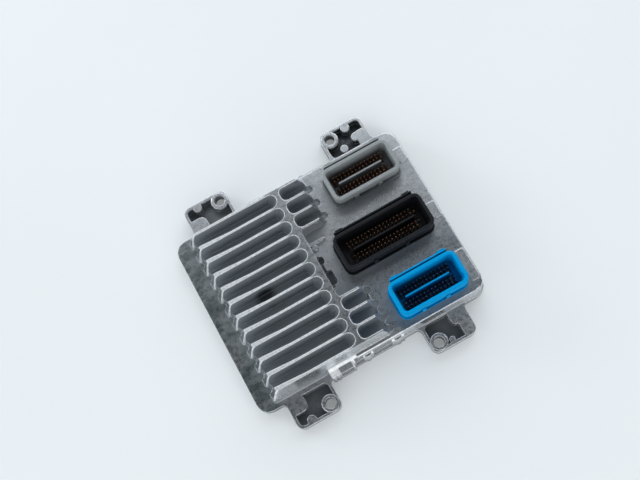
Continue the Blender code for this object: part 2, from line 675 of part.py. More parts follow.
def add_ear_details(housing, ear):
    """Sinks an ear's cored pocket around its pads, and drills its bolt hole."""
    side = ear["side"]
    way = ear["way"]
    bolt_side = bolt_x(ear) - way * BOLT_EDGE

    def place(along, out):
        return bolt_side + way * along, side * (HALF_WIDTH + out)

    def block(low_along, high_along, low_out, high_out):
        x0, y0 = place(low_along, low_out)
        x1, y1 = place(high_along, high_out)
        return rectangle(min(x0, x1), max(x0, x1), min(y0, y1), max(y0, y1))

    depth = (EAR_FLOOR, FLANGE_HEIGHT + MM)
    island = (0.0, FLANGE_HEIGHT + 2 * MM)
    pocket = loft("pocket", prism(
        fillet(block(EAR_WALL, EAR_LENGTH - EAR_WALL, EAR_POCKET_ROOT, EAR_REACH - EAR_WALL),
               EAR_TIP_RADIUS - EAR_WALL), *depth))
    cut(pocket, loft("boss", prism(circle(bolt_x(ear), side * BOLT_Y, BOSS_RADIUS, HOLE_STEPS), *island)))
    cut(pocket, loft("tip", prism(block(-MM, BOLT_EDGE, EAR_REACH - BOLT_EDGE, EAR_REACH + MM), *island)))
    for along, out, radius in ear["pads"]:
        x, y = place(BOLT_EDGE + along, out)
        cut(pocket, loft("pad", prism(circle(x, y, radius), *island)))
    solid = block(BOLT_EDGE + SOLID_START, EAR_LENGTH + MM, -2 * MM, ear["corner"])
    cut(pocket, loft("solid", prism(fillet(solid, SOLID_RADIUS), *island)))
    tip, low_out, high_out = ear["finger"]
    finger = fillet(block(BOLT_EDGE + tip, EAR_LENGTH + 2 * MM, low_out, high_out), FINGER_RADIUS)
    cut(pocket, loft("finger", prism(finger, *island)))
    cut(housing, pocket)
    ring = circle(bolt_x(ear), side * BOLT_Y, BOSS_RADIUS - 0.4 * MM, HOLE_STEPS)
    join(housing, loft("boss_top", prism(ring, FLANGE_HEIGHT / 2, FLANGE_HEIGHT + BOSS_PROUD)))
    hole = circle(bolt_x(ear), side * BOLT_Y, BOLT_RADIUS, HOLE_STEPS)
    cut(housing, loft("bolt_hole", prism(hole, -MM, FLANGE_HEIGHT + BOSS_PROUD + MM)))


def inset_outline(left, right, half_width, inset, radius, steps=CORNER_STEPS):
    """Returns a rounded rectangle taken in from the given edges."""
    outline = rectangle(left + inset, right - inset, -half_width + inset, half_width - inset)
    return fillet(outline, radius, steps)


def body_inset(inset, radius):
    """Returns the body's outline, without ears, taken in by a distance."""
    return inset_outline(-HALF_LENGTH, HALF_LENGTH, HALF_WIDTH, inset, radius)


def cover_screw_places():
    """Returns the cover screws' places, round the edge of the base."""
    x = HALF_LENGTH - SCREW_INSET
    y = HALF_WIDTH - SCREW_INSET
    corner_x = HALF_LENGTH - CORNER_SCREW_INSET
    corner_y = HALF_WIDTH - CORNER_SCREW_INSET
    corners = [(end * corner_x, side * corner_y) for end in (-1, 1) for side in (1, -1)]
    return corners + [(CHANNEL_END_X, y), (CHANNEL_END_X, -y), (-x, 0.0), (x, 0.0)]


def seal_body(low, high, spare):
    """Returns an object with the ring that runs round the base, widened by a clearance."""
    radius = CORNER_RADIUS - SEAL_INSET / 2
    outer = SEAL_INSET - SEAL_WIDTH / 2 - spare
    inner = SEAL_INSET + SEAL_WIDTH / 2 + spare
    ring = loft("ring", prism(body_inset(outer, radius + spare), low, high))
    middle = body_inset(inner, radius - SEAL_WIDTH / 2)
    cut(ring, loft("middle", prism(middle, low - MM, high + MM)))
    return ring


def skirt_outline(header, spare):
    """Returns the outline of a header's skirt where it passes the roof, widened by a clearance."""
    left, right = header_span(header)
    half = header_half_width(header)
    inset = SKIRT_INSET - spare
    y = header_y(header)
    outline = rectangle(left + inset, right - inset, y - half + inset, y + half - inset)
    return fillet(outline, HEADER_RADIUS - SKIRT_INSET + spare, steps=2)


def header_span(header):
    """Returns a header's left and right outer faces."""
    first_pin = LAST_PIN_X - (header["columns"] - 1) * PIN_PITCH
    return first_pin - header["left_room"] - HEADER_WALL, HEADER_RIGHT_X


def header_half_width(header):
    """Returns half of a header's outer width."""
    return ROW_GAP / 2 + PIN_PITCH + header["side_room"] + HEADER_WALL


def header_y(header):
    """Returns a header's middle line."""
    return HEADER_MIDDLE_Y + header["place"] * HEADER_SPACING


def build_housing(surface):
    """Builds the die-cast housing."""
    housing = loft("housing", prism(flange_outline(), -2 * MM, FLANGE_HEIGHT))
    join(housing, loft("plateau", plateau_rings()))
    heights = (MM, FLANGE_HEIGHT, FIN_HEIGHT)
    join(housing, loft("fin_block", [at_height(fin_block_outline(height), height) for height in heights]))
    add_side_apron(housing, -1, near_wall, NEAR_APRON)
    add_side_apron(housing, 1, far_wall, FAR_APRON)
    ground = rectangle(-HOUSING_LENGTH, HOUSING_LENGTH, -HOUSING_LENGTH, HOUSING_LENGTH)
    cut(housing, loft("ground", prism(ground, -5 * MM, 0.0)))
    middles = [(fin_y(index) + fin_y(index + 1)) / 2 for index in range(FIN_COUNT - 1)]
    cut(housing, lofts("channels", [channel_rings(y) for y in middles]))
    short = middles[:UPPER_POCKETS] + middles[-LOWER_POCKETS:]
    cut(housing, lofts("pockets", [pocket_rings(y) for y in short]))
    cut(housing, lofts("scoops", [scoop_rings(y) for y in middles]))
    dips = [y + UPPER_DIP_SHIFT for y in middles[:UPPER_POCKETS]]
    dips += [y + LOWER_DIP_SHIFT for y in middles[-LOWER_POCKETS:]]
    dips.append(fin_y(FIN_COUNT - 1) + LAST_DIP_SHIFT)
    cut(housing, lofts("dips", [dip_rings(y) for y in dips]))
    add_bay_details(housing)
    for ear in EARS:
        add_ear_details(housing, ear)
    cut(housing, loft("cover_bed", prism(body_inset(RIM_WALL, CORNER_RADIUS - RIM_WALL), -MM, LEDGE_HEIGHT)))
    cavity = inset_outline(CAVITY_LEFT_X, CAVITY_RIGHT_X, CAVITY_HALF_WIDTH, 0.0, CAVITY_RADIUS)
    cut(housing, loft("cavity", prism(cavity, 0.0, CAVITY_CEILING)))
    cut(housing, seal_body(LEDGE_HEIGHT - MM, LEDGE_HEIGHT + SEAL_HEIGHT + SEAT, SEAT))
    openings = [prism(skirt_outline(header, SEAT), CAVITY_CEILING - MM, PLATEAU_HEIGHT + MM) for header in HEADERS]
    cut(housing, lofts("header_openings", openings))
    bosses = [prism(circle(x, y, BOARD_BOSS_RADIUS), PART_SEAT, CAVITY_CEILING + ROOF / 2) for x, y in BOARD_SCREWS]
    join(housing, lofts("board_bosses", bosses))
    hole_top = BOARD_HEIGHT + BOARD_SCREW_LENGTH - HEAD_HEIGHT
    holes = [prism(screw_hole(x, y), BOARD_HEIGHT, hole_top) for x, y in BOARD_SCREWS]
    cut(housing, lofts("board_screw_holes", holes))
    hole_top = SEAT + COVER_SCREW_LENGTH + SEAT
    holes = [prism(screw_hole(x, y), 0.0, hole_top) for x, y in cover_screw_places()]
    cut(housing, lofts("cover_screw_holes", holes))
    return finish(housing, "housing", surface)


def build_cover(surface):
    """Builds the flat base cover with its countersunk holes."""
    outline = body_inset(RIM_WALL + SEAT, CORNER_RADIUS - RIM_WALL - SEAT)
    cover = loft("cover", prism(outline, SEAT, COVER_TOP))
    sinks = []
    for x, y in cover_screw_places():
        rings = []
        for height, radius in screw_profile(SEAT):
            rings.append(at_height(circle(x, y, radius, SCREW_STEPS), height))
        sinks.append(rings)
    cut(cover, lofts("sinks", sinks))
    return finish(cover, "base_cover", surface)


def screw_profile(spare):
    """Returns height and radius pairs of a countersunk head, widened by a clearance."""
    return (
        (-spare if spare else SEAT, HEAD_RADIUS + spare),
        (SEAT + 0.3 * MM, HEAD_RADIUS + spare),
        (COVER_TOP, SCREW_RADIUS + spare),
        (COVER_TOP + MM, SCREW_RADIUS + spare),
    )


def screw_hole(x, y):
    """Returns the outline of a clearance hole round a screw."""
    return circle(x, y, SCREW_HOLE_RADIUS, SCREW_STEPS)


def hexagon(x, y, radius):
    """Returns a six-sided drive outline."""
    return circle(x, y, radius, steps=6)


def build_screw(name, x, y, rings, drive_low, drive_high, surface):
    """Builds one screw with a hexagon recess in its head."""
    screw = loft(name, [at_height(circle(x, y, radius, SCREW_STEPS), height) for height, radius in rings])
    cut(screw, loft("drive", prism(hexagon(x, y, DRIVE_RADIUS), drive_low, drive_high)))
    return finish(screw, name, surface)


def build_screws(surface):
    """Builds the cover screws and the board screws."""
    for number, (x, y) in enumerate(cover_screw_places(), start=1):
        head = screw_profile(0.0)
        rings = head[:3] + ((SEAT + COVER_SCREW_LENGTH, SCREW_RADIUS),)
        build_screw(f"cover_screw_{number}", x, y, rings, 0.0, SEAT + DRIVE_DEPTH, surface)
    top = BOARD_HEIGHT - SEAT
    low = top - HEAD_HEIGHT
    for number, (x, y) in enumerate(BOARD_SCREWS, start=1):
        rings = (
            (low, HEAD_RADIUS * 0.8),
            (low + HEAD_HEIGHT / 3, HEAD_RADIUS),
            (top, HEAD_RADIUS),
            (top, SCREW_RADIUS),
            (low + BOARD_SCREW_LENGTH, SCREW_RADIUS),
        )
        build_screw(f"board_screw_{number}", x, y, rings, low - MM, low + DRIVE_DEPTH, surface)


def build_board(surface):
    """Builds the circuit board with its screw holes."""
    outline = inset_outline(CAVITY_LEFT_X, CAVITY_RIGHT_X, CAVITY_HALF_WIDTH, BOARD_CLEARANCE, CAVITY_RADIUS)
    board = loft("board", prism(outline, BOARD_HEIGHT, BOARD_TOP))
    holes = [prism(screw_hole(x, y), BOARD_HEIGHT - MM, BOARD_TOP + MM) for x, y in BOARD_SCREWS]
    cut(board, lofts("holes", holes))
    return finish(board, "circuit_board", surface)


def header_outline(header, inset, radius=0.0):
    """Returns a header's outer outline taken in by a distance, with a set corner radius if one is given."""
    left, right = header_span(header)
    half = header_half_width(header)
    y = header_y(header)
    outline = rectangle(left + inset, right - inset, y - half + inset, y + half - inset)
    return fillet(outline, radius if radius else HEADER_RADIUS - min(inset, HEADER_RADIUS / 2))


def bank_spans(header, spare):
    """Returns the two rectangles that hold a header's pairs of pin rows, widened by a clearance."""
    left = LAST_PIN_X - (header["columns"] - 1) * PIN_PITCH
    margin = PIN_WIDTH / 2 + BANK_MARGIN + spare
    inner = PIN_WIDTH / 2 + BANK_INNER_MARGIN + spare
    spans = []
    for side in (-1, 1):
        first = header_y(header) + side * (ROW_GAP / 2 - inner)
        last = header_y(header) + side * (ROW_GAP / 2 + PIN_PITCH + margin)
        spans.append(rectangle(left - margin, LAST_PIN_X + margin, min(first, last), max(first, last)))
    return spans


def header_rings(header):
    """Returns the outer rings of a header, from its skirt on the board to its rim."""
    collar_bottom = BASE_BOTTOM + BASE_THICKNESS + NECK_HEIGHT
    levels = (
        (PART_SEAT, SKIRT_INSET),
        (BASE_BOTTOM, SKIRT_INSET),
        (BASE_BOTTOM, -BASE_PROUD),
        (BASE_BOTTOM + BASE_THICKNESS, -BASE_PROUD),
        (BASE_BOTTOM + BASE_THICKNESS, NECK_INSET),
        (collar_bottom, NECK_INSET),
        (collar_bottom + NECK_INSET / 2, 0.0),
        (HEADER_TOP - RIM_EDGE, 0.0),
        (HEADER_TOP, RIM_EDGE),
    )
    return [at_height(header_outline(header, inset), height) for height, inset in levels]


def build_header(header, surface):
    """Builds one header: shroud, floor, polarising blade, rail and guides."""
    shroud = loft("shroud", header_rings(header))
    socket = (
        (HEADER_FLOOR, HEADER_WALL + HEADER_TAPER),
        (HEADER_TOP - 2 * HEADER_LEAD_IN, HEADER_WALL),
        (HEADER_TOP + HEADER_LEAD_IN, HEADER_WALL - HEADER_LEAD_IN),
    )
    cut(shroud, loft("socket", [at_height(header_outline(header, inset), height) for height, inset in socket]))
    under = HEADER_FLOOR - HEADER_FLOOR_THICKNESS
    room = header_outline(header, SKIRT_INSET + SKIRT_WALL, ROOM_RADIUS)
    cut(shroud, loft("room", prism(room, PART_SEAT - MM, under)))
    windows = [prism(span, under - MM, HEADER_FLOOR + MM) for span in bank_spans(header, SEAT)]
    cut(shroud, lofts("windows", windows))
    y = header_y(header)
    left, right = header_span(header)
    first_pin = LAST_PIN_X - (header["columns"] - 1) * PIN_PITCH
    blade = rectangle(first_pin + BLADE_INSET, LAST_PIN_X - BLADE_INSET, y - BLADE_WIDTH / 2, y + BLADE_WIDTH / 2)
    join(shroud, loft("blade", prism(blade, HEADER_FLOOR - MM, HEADER_TOP - BLADE_DROP)))
    face = y + header_half_width(header)
    join(shroud, loft("rail", rail_rings(left + RAIL_INSET, right - RAIL_INSET, face)))
    stops = []
    for x in (left + 2 * RAIL_INSET, right - 2 * RAIL_INSET):
        outer = face + RAIL_GAP + RAIL_WALL
        outline = rectangle(x - RAIL_STOP_WIDTH / 2, x + RAIL_STOP_WIDTH / 2,
                            outer - RAIL_WALL / 2, outer + RAIL_STOP_PROUD)
        stops.append(prism(outline, RAIL_SHELF + RAIL_SHELF_THICKNESS / 3, RAIL_TOP - RAIL_WALL / 2))
    join(shroud, lofts("stops", stops))
    near_face = y - header_half_width(header)
    guides = []
    for share in (0.3, 0.66):
        x = left + (right - left) * share
        outline = rectangle(x - GUIDE_WIDTH / 2, x + GUIDE_WIDTH / 2,
                            near_face - GUIDE_PROUD, near_face + NECK_INSET + HEADER_WALL / 4)
        guides.append(prism(outline, BASE_BOTTOM + BASE_THICKNESS / 2, HEADER_TOP - GUIDE_DROP))
    join(shroud, lofts("guides", guides))
    return finish(shroud, f"header_{header['name']}", surface)


def rail_rings(left, right, face):
    """Returns the hooked rail on a header's far side, run along X."""
    outer = face + RAIL_GAP + RAIL_WALL
    profile = (
        (face - HEADER_WALL / 4, RAIL_SHELF),
        (outer, RAIL_SHELF),
        (outer, RAIL_TOP),
        (outer - RAIL_WALL, RAIL_TOP),
        (outer - RAIL_WALL, RAIL_SHELF + RAIL_SHELF_THICKNESS),
        (face - HEADER_WALL / 4, RAIL_SHELF + RAIL_SHELF_THICKNESS),
    )
    return [[Vector((x, y, z)) for y, z in profile] for x in (left, right)]


def build_pin_block(header, surface):
    """Builds the insulator under a header's floor with all its pins."""
    spare = SKIRT_INSET + SKIRT_WALL + SEAT
    under = HEADER_FLOOR - HEADER_FLOOR_THICKNESS - SEAT
    block = loft("block", prism(header_outline(header, spare, ROOM_RADIUS), PART_SEAT, under))
    banks = [prism(span, under - MM, HEADER_FLOOR - SEAT) for span in bank_spans(header, 0.0)]
    join(block, lofts("banks", banks))
    pins = []
    for column in range(header["columns"]):
        for row in range(4):
            if (column, row) in header["gaps"]:
                continue
            x = LAST_PIN_X - (header["columns"] - 1 - column) * PIN_PITCH
            side = 1 if row > 1 else -1
            step = row - 2 if row > 1 else 1 - row
            y = header_y(header) + side * (ROW_GAP / 2 + step * PIN_PITCH)
            pins.append([
                at_height(square(x, y, PIN_WIDTH), HEADER_FLOOR - 2 * SEAT),
                at_height(square(x, y, PIN_TIP_WIDTH), PIN_TIP),
            ])
    join(block, lofts("pins", pins))
    return finish(block, f"pin_block_{header['name']}", surface)


def square(x, y, width):
    """Returns a square outline round a point."""
    half = width / 2
    return rectangle(x - half, x + half, y - half, y + half)


def build_gasket(header, surface):
    """Builds the flat gasket between a header's base and the housing."""
    low = GASKET_BOTTOM
    high = GASKET_BOTTOM + GASKET_THICKNESS
    inner = SKIRT_INSET - SEAT
    gasket = loft("gasket", prism(header_outline(header, inner - GASKET_WIDTH), low, high))
    cut(gasket, loft("inside", prism(header_outline(header, inner), low - MM, high + MM)))
    return finish(gasket, f"header_seal_{header['name']}", surface)


def build_package(name, x, y, length, width, height, surface, cap=0.0):
    """Builds a chip package: a moulded block, or a thin base with a smaller cap."""
    base = rectangle(x - length / 2, x + length / 2, y - width / 2, y + width / 2)
    inset = cap if cap else 0.3 * MM
    lid = rectangle(x - length / 2 + inset, x + length / 2 - inset, y - width / 2 + inset, y + width / 2 - inset)
    shoulder = PART_SEAT + (0.6 * MM if cap else height * 0.55)
    rings = [at_height(base, PART_SEAT), at_height(base, shoulder)]
    if cap:
        rings.append(at_height(lid, shoulder))
    rings.append(at_height(lid, PART_SEAT + height))
    return finish(loft(name, rings), name, surface)


def build_capacitor(name, x, y, radius, height, surface):
    """Builds a can capacitor on its square foot."""
    foot = fillet(rectangle(x - radius, x + radius, y - radius, y + radius), radius * 0.3, steps=1)
    can = loft(name, prism(foot, PART_SEAT, PART_SEAT + height * 0.2))
    profile = ((0.1, 0.95), (0.34, 0.95), (0.42, 0.86), (1.0, 0.9))
    rings = [at_height(circle(x, y, radius * wide, SCREW_STEPS), PART_SEAT + height * share) for share, wide in profile]
    join(can, loft("can", rings))
    return finish(can, name, surface)


def build_electronics(surfaces):
    """Builds the parts soldered to the board and the pads that carry their heat to the roof."""
    chip = surfaces["chip"]
    right = CHANNEL_END_X
    build_package("microcontroller", right + MCU_STEP, MCU_Y, MCU_SIZE, MCU_SIZE, CHIP_HEIGHT, chip, cap=1.5 * MM)
    flash_y = MCU_Y - MCU_SIZE / 2 - FLASH_WIDTH / 2 - PART_GAP
    build_package("flash_memory", right + MCU_STEP, flash_y, FLASH_LENGTH, FLASH_WIDTH, FLASH_HEIGHT, chip)
    crystal_y = MCU_Y + MCU_SIZE / 2 + CRYSTAL_WIDTH / 2 + PART_GAP
    crystal = rectangle(right + MCU_STEP, right + MCU_STEP + CRYSTAL_LENGTH,
                        crystal_y - CRYSTAL_WIDTH / 2, crystal_y + CRYSTAL_WIDTH / 2)
    rings = prism(fillet(crystal, CRYSTAL_WIDTH * 0.49), PART_SEAT, PART_SEAT + CRYSTAL_HEIGHT)
    finish(loft("crystal", rings), "crystal", surfaces["steel"])
    for number, step in enumerate(COIL_STEPS, start=1):
        x = right + step
        y = crystal_y + CRYSTAL_WIDTH / 2 + COIL_SIZE / 2 + PART_GAP
        outline = rectangle(x - COIL_SIZE / 2, x + COIL_SIZE / 2, y - COIL_SIZE / 2, y + COIL_SIZE / 2)
        rings = prism(fillet(outline, COIL_SIZE * 0.15, steps=2), PART_SEAT, PART_SEAT + COIL_HEIGHT)
        finish(loft("coil", rings), f"inductor_{number}", surfaces["ferrite"])
    places = [(right + step, side * (CAVITY_HALF_WIDTH - CAPACITOR_GAP)) for side in (1, -1) for step in COIL_STEPS]
    for number, (x, y) in enumerate(places, start=1):
        build_capacitor(f"capacitor_{number}", x, y, CAPACITOR_RADIUS, CAPACITOR_HEIGHT, surfaces["aluminium"])
    build_hot_column(surfaces)


def build_hot_column(surfaces):
    """Builds the row of power parts under the fins, each with its thermal pad."""
    x = CAVITY_LEFT_X + HOT_STEP
    y = CAVITY_HALF_WIDTH - HOT_GAP
    for number, (name, length, width) in enumerate(HOT_PARTS, start=1):
        y -= width / 2
        build_package(name, x, y, length, width, CHIP_HEIGHT, surfaces["chip"])
        pad_length = length - 2 * PAD_INSET
        pad_width = width - 2 * PAD_INSET
        outline = rectangle(x - pad_length / 2, x + pad_length / 2, y - pad_width / 2, y + pad_width / 2)
        block = loft("pad", prism(outline, PART_SEAT + CHIP_HEIGHT + SEAT, CAVITY_CEILING - SEAT))
        finish(block, f"thermal_pad_{number}", surfaces["thermal_pad"])
        y -= width / 2 + HOT_SPACE


def build_unit():
    """Builds the whole control unit."""
    surfaces = {
        "aluminium": material("cast_aluminium", (0.42, 0.44, 0.46), 0.42, 1.0),
        "sheet": material("cover_sheet", (0.55, 0.56, 0.57), 0.35, 1.0),
        "steel": material("zinc_steel", (0.60, 0.60, 0.58), 0.3, 1.0),
        "rubber": material("seal_rubber", (0.02, 0.02, 0.022), 0.8, 0.0),
        "board": material("board_green", (0.015, 0.09, 0.04), 0.45, 0.0),
        "pins": material("pin_insulator", (0.02, 0.014, 0.01), 0.5, 0.0),
        "grey": material("grey_plastic", (0.22, 0.24, 0.25), 0.5, 0.0),
        "black": material("black_plastic", (0.008, 0.009, 0.012), 0.42, 0.0),
        "blue": material("blue_plastic", (0.0, 0.30, 0.72), 0.4, 0.0),
        "chip": material("chip_mould", (0.015, 0.015, 0.016), 0.6, 0.0),
        "thermal_pad": material("thermal_pad", (0.35, 0.37, 0.38), 0.9, 0.0),
        "ferrite": material("ferrite", (0.05, 0.05, 0.055), 0.7, 0.0),
    }
    build_housing(surfaces["aluminium"])
    build_cover(surfaces["sheet"])
    seal = seal_body(LEDGE_HEIGHT, LEDGE_HEIGHT + SEAL_HEIGHT, 0.0)
    finish(seal, "perimeter_seal", surfaces["rubber"])
    build_board(surfaces["board"])
    build_screws(surfaces["steel"])
    for header in HEADERS:
        build_header(header, surfaces[header["name"]])
        build_pin_block(header, surfaces["pins"])
        build_gasket(header, surfaces["rubber"])
    build_electronics(surfaces)


for old in list(bpy.data.objects):
    bpy.data.objects.remove(old)
build_unit()
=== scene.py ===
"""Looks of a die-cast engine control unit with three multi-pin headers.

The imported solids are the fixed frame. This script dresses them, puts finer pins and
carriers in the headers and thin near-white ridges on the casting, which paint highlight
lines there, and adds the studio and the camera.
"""

import logging
import math
from collections.abc import Iterable
from dataclasses import dataclass, field
from enum import Enum
from typing import NamedTuple

import bmesh
import bpy
from mathutils import Matrix, Vector

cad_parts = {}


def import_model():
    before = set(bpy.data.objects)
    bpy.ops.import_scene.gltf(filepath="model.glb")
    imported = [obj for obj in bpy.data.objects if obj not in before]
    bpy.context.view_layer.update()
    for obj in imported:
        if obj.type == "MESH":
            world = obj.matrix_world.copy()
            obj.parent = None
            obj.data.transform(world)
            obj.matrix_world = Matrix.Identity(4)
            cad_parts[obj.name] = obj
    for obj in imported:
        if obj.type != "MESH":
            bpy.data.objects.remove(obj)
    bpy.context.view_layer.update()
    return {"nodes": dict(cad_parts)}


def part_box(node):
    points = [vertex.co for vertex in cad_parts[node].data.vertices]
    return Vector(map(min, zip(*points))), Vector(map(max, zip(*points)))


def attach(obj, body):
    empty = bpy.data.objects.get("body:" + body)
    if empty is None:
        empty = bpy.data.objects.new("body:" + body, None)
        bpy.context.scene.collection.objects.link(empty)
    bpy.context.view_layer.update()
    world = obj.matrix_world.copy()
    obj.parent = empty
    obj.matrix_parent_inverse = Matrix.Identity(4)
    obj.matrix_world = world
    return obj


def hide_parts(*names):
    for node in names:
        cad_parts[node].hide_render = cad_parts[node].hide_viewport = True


MM = 0.001
LOG = logging.getLogger("control_unit")
Colour = tuple[float, float, float]
Place = tuple[float, float, float]
Span = tuple[float, float]
Socket = bpy.types.NodeSocket
Node = bpy.types.Node
Tree = bpy.types.NodeTree
Outputs = bpy.types.bpy_prop_collection
Material = bpy.types.Material
Mesh = bmesh.types.BMesh
Piece = bpy.types.Object
Pieces = dict[str, bpy.types.Object]

# Sockets of a Mix node that is set to colours
MIX_SHARE, MIX_FIRST, MIX_SECOND, MIX_RESULT = 0, 6, 7, 2


class Header(Enum):
    """The three headers, by the colour of their plastic."""

    GREY = "grey"
    BLACK = "black"
    BLUE = "blue"


class Effect(Enum):
    """The shader groups that several finishes share."""

    CAST_SKIN = "cast_skin"
    # mask of the edges for painted edge highlights
    EDGE_RUB = "painted_edge_light"
    # occlusion mask of corners and channels for painted shade
    RECESS = "recess"
    MOULD_TEXTURE = "mould_texture"


class Ramp(NamedTuple):
    """A soft step along one axis of the part, 0 at its start and 1 at its end."""

    axis: str
    start: float
    end: float


def span(axis: str, low: float, high: float, soft: float) -> tuple[Ramp, Ramp]:
    """Bounds a stretch of one axis.

    Args:
        axis: X, Y or Z.
        low: Its lower end.
        high: Its higher end.
        soft: Half the width of its soft ends.

    Returns:
        The soft step into it and the one out of it.
    """
    return Ramp(axis, low - soft, low + soft), Ramp(axis, high + soft, high - soft)


@dataclass(frozen=True)
class NodeBench:
    """A node tree with short ways to add what the finishes are made of."""

    tree: Tree

    def add(self, kind: str, **settings: object) -> Node:
        """Adds a node and sets its properties.

        Args:
            kind: The node's type without ShaderNode.
            **settings: Its properties by name.

        Returns:
            The new node.
        """
        node = self.tree.nodes.new(f"ShaderNode{kind}")
        for name, value in settings.items():
            setattr(node, name, value)
        return node

    def set(self, socket: Socket, value: object) -> None:
        """Links an output socket to an input, or gives the input its value.

        Args:
            socket: The input.
            value: A number, a vector, a colour with alpha or an output socket.
        """
        if isinstance(value, Socket):
            self.tree.links.new(value, socket)
        else:
            socket.default_value = value

    def feed(self, node: Node, **sockets: object) -> Node:
        """Sets or links a node's inputs by name.

        Args:
            node: The node.
            **sockets: What each input takes, with underscores for the spaces in its name.

        Returns:
            The same node.
        """
        for name, value in sockets.items():
            self.set(node.inputs[name.replace("_", " ")], value)
        return node

    def place(self) -> Socket:
        """Reads where the surface is, in the part's own coordinates."""
        return self.add("TexCoord").outputs["Object"]

    def axes(self, vector: Socket) -> Outputs:
        """Splits a vector into its X, Y and Z."""
        return self.feed(self.add("SeparateXYZ"), Vector=vector).outputs

    def noise(self, vector: Socket, scale: object, detail: float, rough: float = 0.5) -> Socket:
        """Adds a noise texture.

        Args:
            vector: Where the noise is read.
            scale: Features per metre.
            detail: How many octaves it has.
            rough: How strong the finer octaves are.

        Returns:
            The noise from 0 to 1.
        """
        node = self.add("TexNoise")
        return self.feed(node, Vector=vector, Scale=scale, Detail=detail, Roughness=rough).outputs["Fac"]

    def spread(self, value: Socket, low: float, high: float,
               to_low: float = 0.0, to_high: float = 1.0) -> Socket:
        """Maps a value from one range to another, smoothly and clamped.

        Args:
            value: The value.
            low: What becomes to_low.
            high: What becomes to_high.
            to_low: The result at the low end.
            to_high: The result at the high end.

        Returns:
            The mapped value.
        """
        node = self.add("MapRange", interpolation_type="SMOOTHSTEP")
        self.feed(node, Value=value, From_Min=low, From_Max=high, To_Min=to_low, To_Max=to_high)
        return node.outputs["Result"]

    def varied(self, mask: Socket, middle: float, less: float, more: float) -> Socket:
        """Varies a number with a mask, from less below its middle to more above it."""
        return self.spread(mask, 0.0, 1.0, middle - less, middle + more)

    def maths(self, operation: str, first: object, second: object, kind: str = "Math") -> Socket:
        """Adds a Math or Vector Math node.

        Args:
            operation: The operation's name.
            first: What its first input takes.
            second: What its second input takes.
            kind: Math or VectorMath.

        Returns:
            The node's single number.
        """
        node = self.add(kind, operation=operation)
        for socket, value in zip(node.inputs, (first, second)):
            self.set(socket, value)
        return node.outputs["Value"]

    def product(self, first: object, *others: object) -> Socket:
        """Multiplies a value by each of the others."""
        for other in others:
            first = self.maths("MULTIPLY", first, other)
        return first

    def most(self, first: object, *others: object) -> Socket:
        """Gives the greatest of several values."""
        for other in others:
            first = self.maths("MAXIMUM", first, other)
        return first

    def zone(self, ramps: Iterable[Ramp]) -> Socket:
        """Makes the mask of a region of the part with soft sides.

        Args:
            ramps: The soft steps that bound it.

        Returns:
            The mask from 0 to 1.
        """
        axes = self.axes(self.place())
        return self.product(*(self.spread(axes[ramp.axis], ramp.start, ramp.end) for ramp in ramps))

    def mix(self, share: object, first: object, second: object) -> Socket:
        """Mixes two colours.

        Args:
            share: How much of the second colour there is.
            first: A colour or an output socket.
            second: A colour or an output socket.

        Returns:
            The mixed colour.
        """
        node = self.add("Mix", data_type="RGBA")
        for index, value in ((MIX_SHARE, share), (MIX_FIRST, first), (MIX_SECOND, second)):
            self.set(node.inputs[index], (*value, 1.0) if isinstance(value, tuple) else value)
        return node.outputs[MIX_RESULT]

    def coat(self, body: object, coats: Iterable[tuple[Socket, float, Colour]]) -> Socket:
        """Lays coats of colour over one another.

        Args:
            body: The colour underneath.
            coats: Each coat's mask, its share where the mask is full, and its colour.

        Returns:
            The colour that is seen.
        """
        for mask, share, colour in coats:
            body = self.mix(self.product(mask, share), body, colour)
        return body


